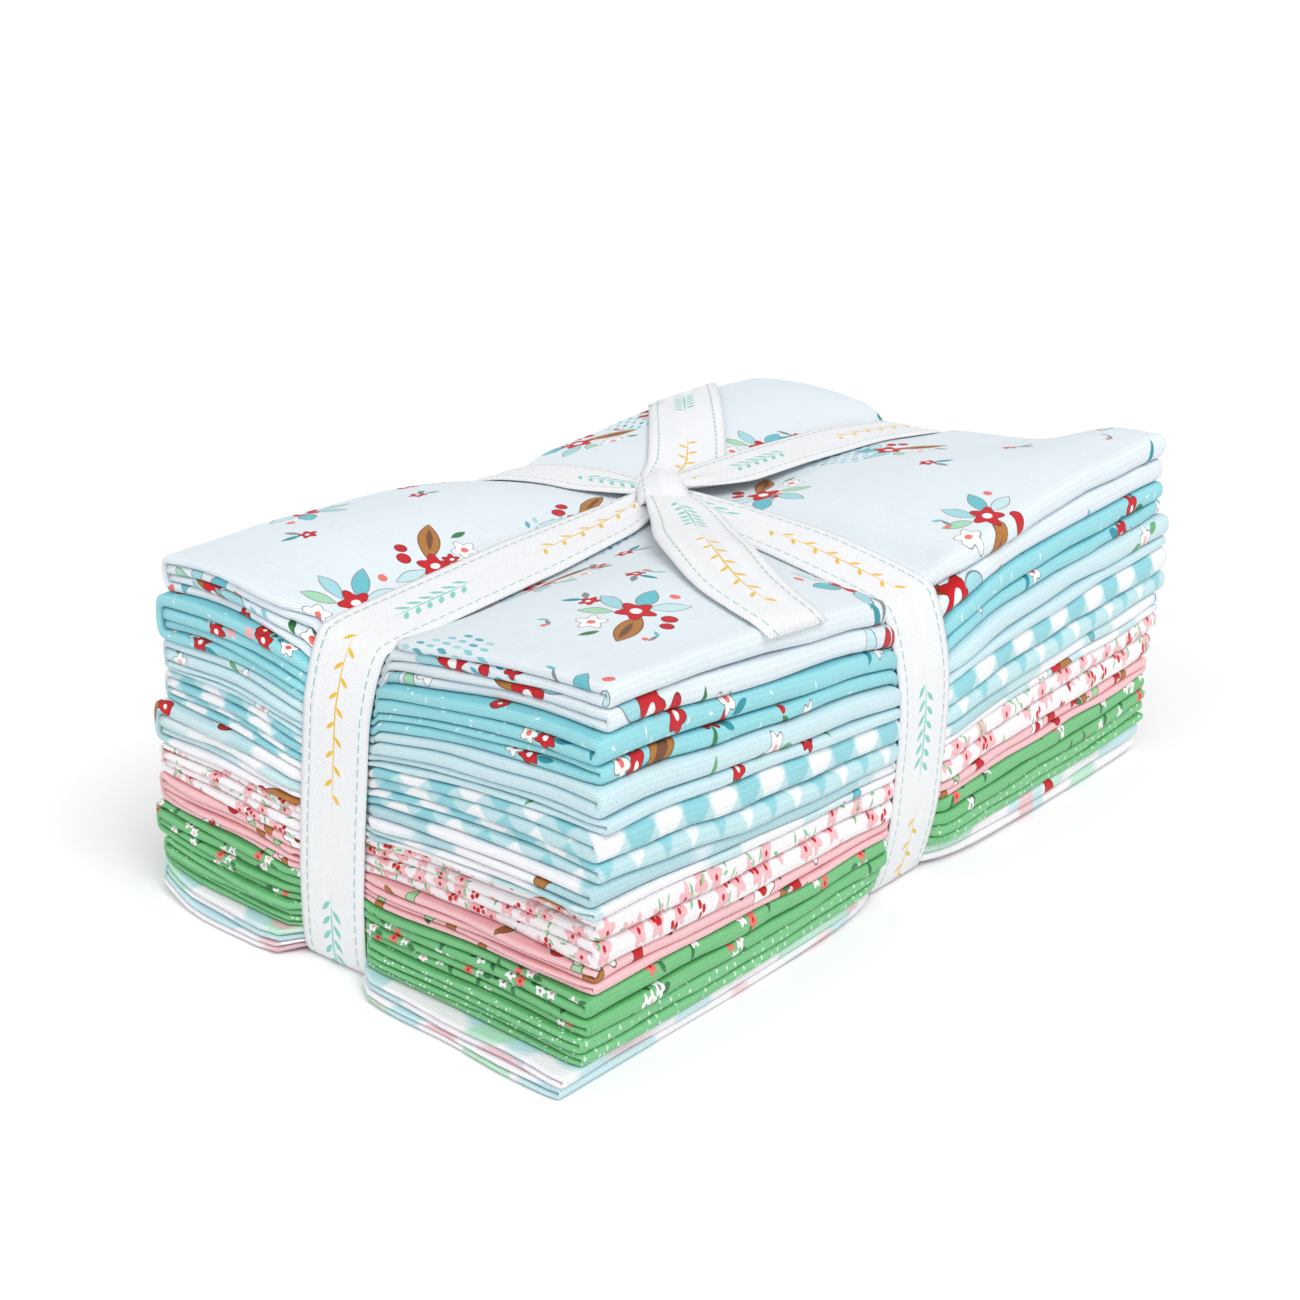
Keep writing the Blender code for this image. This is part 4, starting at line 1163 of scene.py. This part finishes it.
# The scattered prints of each cotton
SPRIGS = {
    "cotton_ice": (
        Layer(45.0, 0.7, 1.7, 0.8, (
            leaf(-6.5, -4.0, 200, 7.2, 2.5, CARAMEL, BROWN), leaf(-7.5, -4.2, 200, 4.6, 0.8, BROWN),
            leaf(8.0, 3.4, 24, 5.0, 2.0, AQUA, GREY), leaf(8.4, -2.6, -30, 4.6, 1.8, "CDEBF1", GREY),
            leaf(2.0, 8.0, 70, 4.4, 1.7, "A7DCE4", GREY), leaf(-3.4, 7.6, 115, 3.8, 1.4, MINT, GREY),
            petals(1.6, 0.8, 0, 4.4, RED, WINE), disc(1.6, 0.8, 1.3, WHITE),
            petals(-8.6, 4.4, 30, 3.5, WHITE, GREY), disc(-8.6, 4.4, 1.0, CORAL),
            disc(3.6, -6.6, 1.5, RED, WINE), disc(0.4, -8.6, 1.3, RED, WINE), disc(13.6, 0.6, 1.2, CORAL),
            leaf(-13.6, 0.8, 160, 2.6, 0.9, DARK_LEAF),
        )),
        Layer(31.0, 0.85, 5.1, 0.5, (
            leaf(3.4, 1.4, 25, 2.8, 0.9, TEAL), leaf(3.0, -1.8, -30, 2.6, 0.8, GREY),
            petals(-0.8, 0.0, 0, 2.2, RED, WINE), disc(-0.6, 0.2, 0.6, WHITE),
        )),
        Layer(25.0, 0.9, 9.4, 0.32, (
            leaf(0.0, 0.0, 30, 2.0, 0.5, GREY), leaf(1.8, 1.8, 80, 1.5, 0.5, AQUA),
            disc(-1.8, 0.2, 0.8, CORAL),
        )),
    ),
    "cotton_aqua": (
        Layer(4.4, 1.0, 2.1, 0.5, (leaf(0.0, 0.0, 0, 0.75, 0.22, "EAF8FA"),)),
        Layer(24.0, 0.75, 4.3, 0.9, (
            leaf(4.6, 2.2, 30, 2.6, 0.85, TEAL), leaf(4.2, -2.6, -40, 2.4, 0.8, DARK_LEAF),
            leaf(-4.4, 2.4, 150, 2.4, 0.8, TEAL), petals(0.8, 0.2, 0, 2.8, RED, WINE),
            disc(0.8, 0.2, 0.7, WHITE), petals(-3.4, -1.4, 20, 2.3, WHITE, GREY),
            disc(-3.4, -1.4, 0.7, CORAL), petals(1.0, 5.0, 40, 1.9, PINK), disc(5.6, -5.2, 0.9, RED),
        )),
        Layer(39.0, 0.8, 7.7, 0.55, (
            leaf(0.0, 0.0, 10, 6.8, 2.6, CARAMEL, BROWN), leaf(1.0, 0.6, 10, 4.6, 1.2, BROWN),
            disc(-6.6, -1.8, 1.9, RED, WINE), disc(-6.6, -1.8, 0.5, WHITE),
        )),
    ),
    "cotton_pale_aqua": (
        Layer(31.0, 0.85, 2.9, 0.62, (
            leaf(4.0, 1.8, 25, 2.2, 0.7, LEAF), leaf(-3.6, -2.6, 215, 2.2, 0.7, LEAF),
            petals(0.0, 0.0, 0, 2.7, WHITE, GREY), disc(0.0, 0.0, 0.8, PINK),
            petals(3.4, -3.0, 30, 1.6, PINK),
        )),
        Layer(37.0, 0.8, 6.2, 0.45, (
            petals(0.0, 0.0, 0, 2.1, RED, WINE), disc(0.0, 0.0, 0.5, WHITE),
            leaf(2.8, 1.4, 28, 1.8, 0.6, DARK_LEAF),
        )),
    ),
    "cotton_cloud": (
        Layer(43.0, 0.8, 3.8, 0.5, (
            leaf(0.0, 0.0, 12, 7.2, 2.0, CARAMEL, BROWN), leaf(-6.2, 3.2, 140, 3.0, 1.2, AQUA, TEAL),
            disc(7.0, 2.6, 2.1, RED, WINE), disc(7.0, 2.6, 0.6, WHITE),
        )),
        Layer(35.0, 0.9, 8.8, 0.4, (
            petals(0.0, 0.0, 0, 3.0, WHITE, GREY), leaf(4.2, 0.0, 0, 2.6, 1.0, AQUA, GREY),
        )),
    ),
    "cotton_ditsy": (
        Layer(6.2, 0.7, 1.3, 0.86, (
            petals(0.0, 0.0, 0, 2.35, "F6C1C6"), disc(0.1, 0.0, 0.45, RED),
        )),
        Layer(5.2, 0.95, 4.7, 0.8, (
            leaf(0.8, 0.5, 35, 1.1, 0.34, "8CCB9A"), leaf(-0.7, -0.4, 160, 1.0, 0.3, "9AD3A6"),
        )),
        Layer(9.0, 0.9, 7.9, 0.75, (
            disc(0.7, 0.1, 0.6, RED), disc(-0.6, 0.5, 0.6, RED), disc(-0.1, -0.9, 0.55, "D9404B"),
        )),
    ),
    "cotton_rose": (
        Layer(27.0, 0.75, 2.4, 0.8, (
            leaf(5.2, 1.8, 20, 3.0, 1.2, PALE_LEAF, DARK_LEAF),
            leaf(-5.4, -2.4, 200, 2.8, 1.1, PALE_LEAF, DARK_LEAF), petals(0.0, 0.0, 0, 4.4, WHITE, BROWN),
            disc(0.0, 0.0, 1.5, RED), leaf(1.0, 6.6, 70, 2.8, 1.2, CARAMEL, BROWN),
            disc(5.0, -5.4, 1.8, RED, WINE),
        )),
        Layer(19.0, 0.9, 6.9, 0.45, (
            leaf(2.0, 0.8, 30, 1.8, 0.6, DARK_LEAF), petals(-0.8, 0.0, 0, 2.0, RED, WINE),
        )),
    ),
    "cotton_green_floral": (
        Layer(11.8, 0.75, 3.1, 0.92, (
            leaf(3.0, 1.2, 25, 1.5, 0.6, DARK_LEAF), leaf(-2.6, 1.9, 130, 1.5, 0.6, DARK_LEAF),
            leaf(0.4, -3.2, 265, 1.5, 0.6, DARK_LEAF), petals(0.9, 1.3, 0, 1.55, WHITE),
            disc(0.9, 1.3, 0.4, GREY), petals(-1.6, -0.4, 20, 1.45, WHITE), disc(-1.6, -0.4, 0.4, PINK),
            petals(1.5, -1.7, 40, 1.55, CORAL), disc(1.5, -1.7, 0.4, RED),
        )),
    ),
    "cotton_white": (
        Layer(30.0, 0.8, 5.7, 0.24, (
            leaf(0.0, 0.0, 0, 6.4, 2.0, RED, WINE), leaf(5.8, 4.2, 60, 2.6, 1.0, AQUA, BROWN),
            petals(-5.4, 4.6, 0, 2.6, AQUA, GREY), disc(-5.4, 4.6, 0.8, WHITE),
        )),
    ),
}


# The soft fields of colour: their colour, their size in mm, a seed and how much is cut away
PATCHES = {
    "cotton_cloud": (("CFE8EC", 26.0, 3.0, 0.53), ("B9DCE2", 34.0, 9.0, 0.64)),
    "cotton_white": (("CDE9EE", 24.0, 2.0, 0.56), ("C5EAD6", 27.0, 7.0, 0.62), ("F1CDD2", 25.0, 12.0, 0.63)),
}


def make_cotton_material(slot, ground):
    """Quilting cotton: plain weave of fine carded yarn, piece-dyed or printed, calendered and matt.

    It gives the eye a flat, chalky colour, a faint slanting weave and crisp small printing.
    """
    material, uv = new_material("quilting_cotton_" + slot.removeprefix("cotton_"))
    tree = material.node_tree
    colour = ground
    if slot == "cotton_check":
        colour = print_check(tree, uv, to_linear("F8FAFC"), to_linear("C6E7EC"), ground)
    if slot == "cotton_green_dotted":
        colour = print_loops(tree, uv, ground, "DDF4E3")
    if slot == "cotton_ice":
        colour = print_foliage(tree, uv, ground)
    colour = print_patches(tree, uv, colour, PATCHES.get(slot, ()))
    colour = print_layers(tree, uv, colour, SPRIGS.get(slot, ()))
    finish_cloth(material, colour, uv)
    return material


# The running stitch: half its thread and its period in mm, and the share of the period that shows
STITCH_THREAD, STITCH_PERIOD, STITCH_SHARE = 0.15, 2.8, 0.66
# How often the ribbon's print repeats, in mm, and how sharp it is
REPEAT, RIBBON_CRISP = 96.0, 5.0
# The herringbone: the width of a row of slanting ribs and of a rib, in mm, and its shade. The ribs are
# drawn coarser than real ones so that they can be seen.
RIB_ROW, RIB, RIB_SHADE = 2.75, 0.85, (0.055, 0.955)
# Heights in mm: a rib, a stitch, and how far the ribbon thins over its last part, per mm
RIB_BUMP, STITCH_BUMP, EDGE_BUMP, EDGE_STEEP = 0.05, 0.12, -0.22, 1.4
RIBBON_SURFACE = {"Roughness": 0.8, "Specular IOR Level": 0.3, "Sheen Weight": 0.15}


def ribbon_print():
    """The marks of one repeat: a leafy twig, and a thin vine with a leaf on either side in turn."""
    marks = [leaf(26.0, 0.0, 0, 13.0, 0.28, TEAL_PRINT)]
    for step in range(6):
        for side in (-1, 1):
            marks.append(leaf(17.0 + 3.6 * step + side, side * 1.7, side * 42, 1.9, 0.62, TEAL_PRINT))
    marks.append(leaf(68.0, 0.0, 0, 22.0, 0.24, YELLOW))
    for step in range(12):
        side = 1 if step % 2 else -1
        marks.append(leaf(50.0 + 3.3 * step, side * 1.3, side * 50, 1.6, 0.5, YELLOW))
    return marks


def make_ribbon_material(colours, sizes):
    """Cotton twill tape: a herringbone weave with two lines of coloured running stitch.

    It gives the eye a bright white with fine slanting ribs, thick soft edges and a dashed line.
    """
    material, uv = new_material(RIBBON_MATERIAL)
    tree = material.node_tree
    parts = add(tree, SPLIT, (uv,)).node.outputs
    along_mm = add(tree, "MULTIPLY", (parts[0], 1 / MM))
    across_mm = add(tree, "MULTIPLY", (parts[1], 1 / MM))
    from_middle = add(tree, "ABSOLUTE", (across_mm,))
    line_at = sizes.ribbon_width / MM / 2 - sizes.stitch_inset / MM
    off_line = add(tree, "SUBTRACT", (from_middle, line_at))
    off_line = add(tree, "ABSOLUTE", (off_line,))
    thread = (off_line, -CRISP, CRISP * STITCH_THREAD + 0.5)
    thread = add(tree, "MULTIPLY_ADD", thread, use_clamp=True)
    dash = add(tree, "MULTIPLY", (along_mm, 1 / STITCH_PERIOD))
    dash = add(tree, "FRACT", (dash,))
    dash = add(tree, "LESS_THAN", (dash, STITCH_SHARE))
    stitch = add(tree, "MULTIPLY", (thread, dash))
    colour = paint(tree, colours.ribbon, colours.stitch, stitch)
    place = add(tree, "MULTIPLY", (along_mm, 1 / REPEAT))
    place = add(tree, "FRACT", (place,))
    place = add(tree, "MULTIPLY", (place, REPEAT))
    spot = add(tree, JOIN, (place, across_mm, 0.0))
    colour = paint_marks(tree, colour, spot, ribbon_print(), RIBBON_CRISP)
    shader = tree.nodes["Principled BSDF"]
    zigzag = add(tree, "PINGPONG", (across_mm, RIB_ROW))
    ribs = add(tree, "ADD", (along_mm, zigzag))
    ribs = add(tree, "MULTIPLY", (ribs, 2 * math.pi / RIB))
    ribs = add(tree, "SINE", (ribs,))
    shade = add(tree, "MULTIPLY_ADD", (ribs, *RIB_SHADE))
    tree.links.new(shade_colour(tree, colour, shade), shader.inputs["Base Color"])
    set_surface(shader, RIBBON_SURFACE)
    edge = (from_middle, -EDGE_STEEP, EDGE_STEEP * line_at)
    edge = add(tree, "MULTIPLY_ADD", edge, use_clamp=True)
    height = add(tree, "MULTIPLY", (ribs, RIB_BUMP))
    height = add(tree, "MULTIPLY_ADD", (stitch, STITCH_BUMP, height))
    height = add(tree, "MULTIPLY_ADD", (edge, EDGE_BUMP, height))
    raise_surface(tree, shader, height)
    return material


def size_property(name, description, default, low, high):
    """A size in metres that a user can change, with its default and its limits."""
    return FloatProperty(
        name=name, description=description, default=default, min=low, max=high, unit="LENGTH"
    )


def colour_property(name, hex_colour):
    """A colour that a user can change, with its default."""
    return FloatVectorProperty(
        name=name, description="Colour of the " + name.lower(), subtype="COLOR", size=4, min=0.0, max=1.0,
        default=to_linear(hex_colour),
    )


class BundleSizes(bpy.types.PropertyGroup):
    """Sizes of the bundle that a user would change, in metres."""

    ribbon_width: size_property("Ribbon width", "Width of the twill tape", 0.0206, 0.01, 0.04)
    ribbon_thick: size_property("Ribbon thickness", "Thickness of the twill tape", 0.0008, 0.0003, 0.002)
    ribbon_gap: size_property("Ribbon gap", "How far the ribbon lies off the cloth", 0.0003, 0.0, 0.002)
    stitch_inset: size_property(
        "Stitch inset", "From the ribbon's edge to its line of stitches", 0.0026, 0.001, 0.006
    )
    band_gap: size_property(
        "Gap between bands", "Air between two folded bands of cloth", 0.00022, 0.0001, 0.001
    )
    edge_round: size_property(
        "Edge rounding", "How far a band's folded edge rounds off", 0.0009, 0.0005, 0.003
    )


class BundleColours(bpy.types.PropertyGroup):
    """Ground colours of the ten cottons, and the ribbon's colours."""

    cotton_ice: colour_property("Ice blue cotton", "E6F0F6")
    cotton_aqua: colour_property("Aqua cotton", "9CDCE4")
    cotton_pale_aqua: colour_property("Pale aqua cotton", "D0EAF0")
    cotton_check: colour_property("Aqua check cotton", "98D6DF")
    cotton_cloud: colour_property("White and blue cotton", "F8F8FC")
    cotton_ditsy: colour_property("Small floral cotton", "FCF7F9")
    cotton_rose: colour_property("Rose cotton", "F8C8CC")
    cotton_green_floral: colour_property("Green floral cotton", "7AC487")
    cotton_green_dotted: colour_property("Green dotted cotton", "80C98F")
    cotton_white: colour_property("White printed cotton", "F8F6FA")
    ribbon: colour_property("Ribbon", "F3F4F7")
    stitch: colour_property("Stitching", "92D2C8")


class BUNDLE_OT_cottons(bpy.types.Operator):
    """Make the ten folded cottons"""

    bl_idname = "bundle.cottons"
    bl_label = "Folded cottons"

    def execute(self, context):
        colours = context.scene.bundle_colours
        for number, cotton in enumerate(COTTONS):
            material = make_cotton_material(cotton.slot, tuple(getattr(colours, cotton.slot)))
            make_cotton(number, material)
        return {"FINISHED"}


def ribbon_material():
    """The ribbon's material, made once."""
    found = bpy.data.materials.get(RIBBON_MATERIAL)
    scene = bpy.context.scene
    return found or make_ribbon_material(scene.bundle_colours, scene.bundle_sizes)


# The two turns: their node, the axis along which they lie, further places that carry them on top,
# such as the back tail below the lengthwise one, and where on the printed ribbon they start, in mm
Turn = namedtuple("Turn", "node axis extra start")
TURNS = (
    Turn("ribbon_lengthwise", 0, ((50.0, 85.6),), 45.0),
    Turn("ribbon_crosswise", 1, (), 20.0),
)
# Where on the printed ribbon the two tails start, in mm
FRONT_START, BACK_START = 4.0, 50.0


class BUNDLE_OT_ribbon_turns(bpy.types.Operator):
    """Make the two turns of ribbon round the stack"""

    bl_idname = "bundle.ribbon_turns"
    bl_label = "Ribbon turns"

    def execute(self, context):
        material = ribbon_material()
        for row in TURNS:
            make_turn(row.node, row.axis, row.extra, material, row.start)
        return {"FINISHED"}


class BUNDLE_OT_ribbon_tie(bpy.types.Operator):
    """Make the knot and the two free ends of the ribbon"""

    bl_idname = "bundle.ribbon_tie"
    bl_label = "Knot and tails"

    def execute(self, context):
        material = ribbon_material()
        make_knot("ribbon_knot", material)
        make_tail("ribbon_tail_front", FRONT_TAIL, material, FRONT_START)
        make_tail("ribbon_tail_back", BACK_TAIL, material, BACK_START)
        return {"FINISHED"}


# The photo's camera: its place in metres, its azimuth and elevation in degrees, and its lens in mm
CAMERA_AT = (-0.38687, -0.31684, 0.22591)
CAMERA_AZIMUTH = -49.84
CAMERA_ELEVATION = 19.70
CAMERA_LENS = 58.15
CAMERA_SENSOR = 36.0
# Half the floor's side in metres, how far it lies below the stack, and its surface
FLOOR_REACH, FLOOR_DROP = 30.0, 0.0003
FLOOR_SURFACE = {"Base Color": to_linear("FAFAFA"), "Roughness": 0.9, "Specular IOR Level": 0.1}
WORLD_STRENGTH = 0.62
# The soft lights: where they stand round the stack, in degrees, their strength and their spread
Softbox = namedtuple("Softbox", "name azimuth elevation strength angle")
SOFTBOXES = (
    Softbox("key_softbox", -15.0, 55.0, 1.5, 40.0),
    Softbox("fill_softbox", -80.0, 35.0, 0.55, 50.0),
)


def outward(azimuth, elevation):
    """The direction from the stack towards an azimuth and an elevation in degrees."""
    a, e = math.radians(azimuth), math.radians(elevation)
    return Vector((math.sin(a) * math.cos(e), -math.cos(a) * math.cos(e), math.sin(e)))


class BUNDLE_OT_stage(bpy.types.Operator):
    """Make the pale floor, the studio light and the camera"""

    bl_idname = "bundle.stage"
    bl_label = "Stage, light and camera"

    def execute(self, context):
        scene = context.scene
        mesh = bpy.data.meshes.new("studio_floor")
        corners = ((-1, -1), (1, -1), (1, 1), (-1, 1))
        mesh.from_pydata([(x * FLOOR_REACH, y * FLOOR_REACH, 0) for x, y in corners], [], [(0, 1, 2, 3)])
        floor = bpy.data.objects.new("studio_floor", mesh)
        floor.location.z = -FLOOR_DROP
        material = bpy.data.materials.new("studio_floor_matt_paper")
        material.use_nodes = True
        set_surface(material.node_tree.nodes["Principled BSDF"], FLOOR_SURFACE)
        mesh.materials.append(material)
        scene.collection.objects.link(floor)
        world = bpy.data.worlds.new("studio_white")
        world.use_nodes = True
        world.node_tree.nodes["Background"].inputs["Color"].default_value = (1.0, 1.0, 1.0, 1.0)
        world.node_tree.nodes["Background"].inputs["Strength"].default_value = WORLD_STRENGTH
        scene.world = world
        for box in SOFTBOXES:
            light = bpy.data.lights.new(box.name, "SUN")
            light.energy = box.strength
            light.angle = math.radians(box.angle)
            lamp = bpy.data.objects.new(box.name, light)
            lamp.rotation_euler = outward(box.azimuth, box.elevation).to_track_quat("Z", "Y").to_euler()
            scene.collection.objects.link(lamp)
        lens = bpy.data.cameras.new("photo_camera")
        lens.lens = CAMERA_LENS
        lens.sensor_width = CAMERA_SENSOR
        lens.clip_start = 0.01
        camera = bpy.data.objects.new("photo_camera", lens)
        azimuth = math.radians(CAMERA_AZIMUTH)
        back = outward(CAMERA_AZIMUTH, CAMERA_ELEVATION)
        right = Vector((math.cos(azimuth), math.sin(azimuth), 0.0))
        place = Matrix((right, back.cross(right), back)).transposed().to_4x4()
        place.translation = Vector(CAMERA_AT)
        camera.matrix_world = place
        scene.collection.objects.link(camera)
        scene.camera = camera
        scene.view_settings.view_transform = "Standard"
        return {"FINISHED"}


class BUNDLE_PT_panel(bpy.types.Panel):
    """Lists the bundle's sizes, colours and pieces"""

    bl_idname = "BUNDLE_PT_panel"
    bl_label = "Fabric bundle"
    bl_space_type = "VIEW_3D"
    bl_region_type = "UI"
    bl_category = "Fabric bundle"

    def draw(self, context):
        layout = self.layout
        for group in (context.scene.bundle_sizes, context.scene.bundle_colours):
            for name in group.__annotations__:
                layout.prop(group, name)
        for operator in OPERATORS:
            layout.operator(operator.bl_idname)


OPERATORS = (BUNDLE_OT_cottons, BUNDLE_OT_ribbon_turns, BUNDLE_OT_ribbon_tie, BUNDLE_OT_stage)
CLASSES = (BundleSizes, BundleColours, *OPERATORS, BUNDLE_PT_panel)


def register():
    for made in CLASSES:
        bpy.utils.register_class(made)
    bpy.types.Scene.bundle_sizes = PointerProperty(type=BundleSizes)
    bpy.types.Scene.bundle_colours = PointerProperty(type=BundleColours)


def unregister():
    del bpy.types.Scene.bundle_colours
    del bpy.types.Scene.bundle_sizes
    for made in reversed(CLASSES):
        bpy.utils.unregister_class(made)


def main():
    register()
    bpy.context.scene.collection.children.link(bpy.data.collections.new(COLLECTION))
    bpy.ops.bundle.cottons()
    bpy.ops.bundle.ribbon_turns()
    bpy.ops.bundle.ribbon_tie()
    bpy.ops.bundle.stage()


if __name__ == "__main__":
    main()
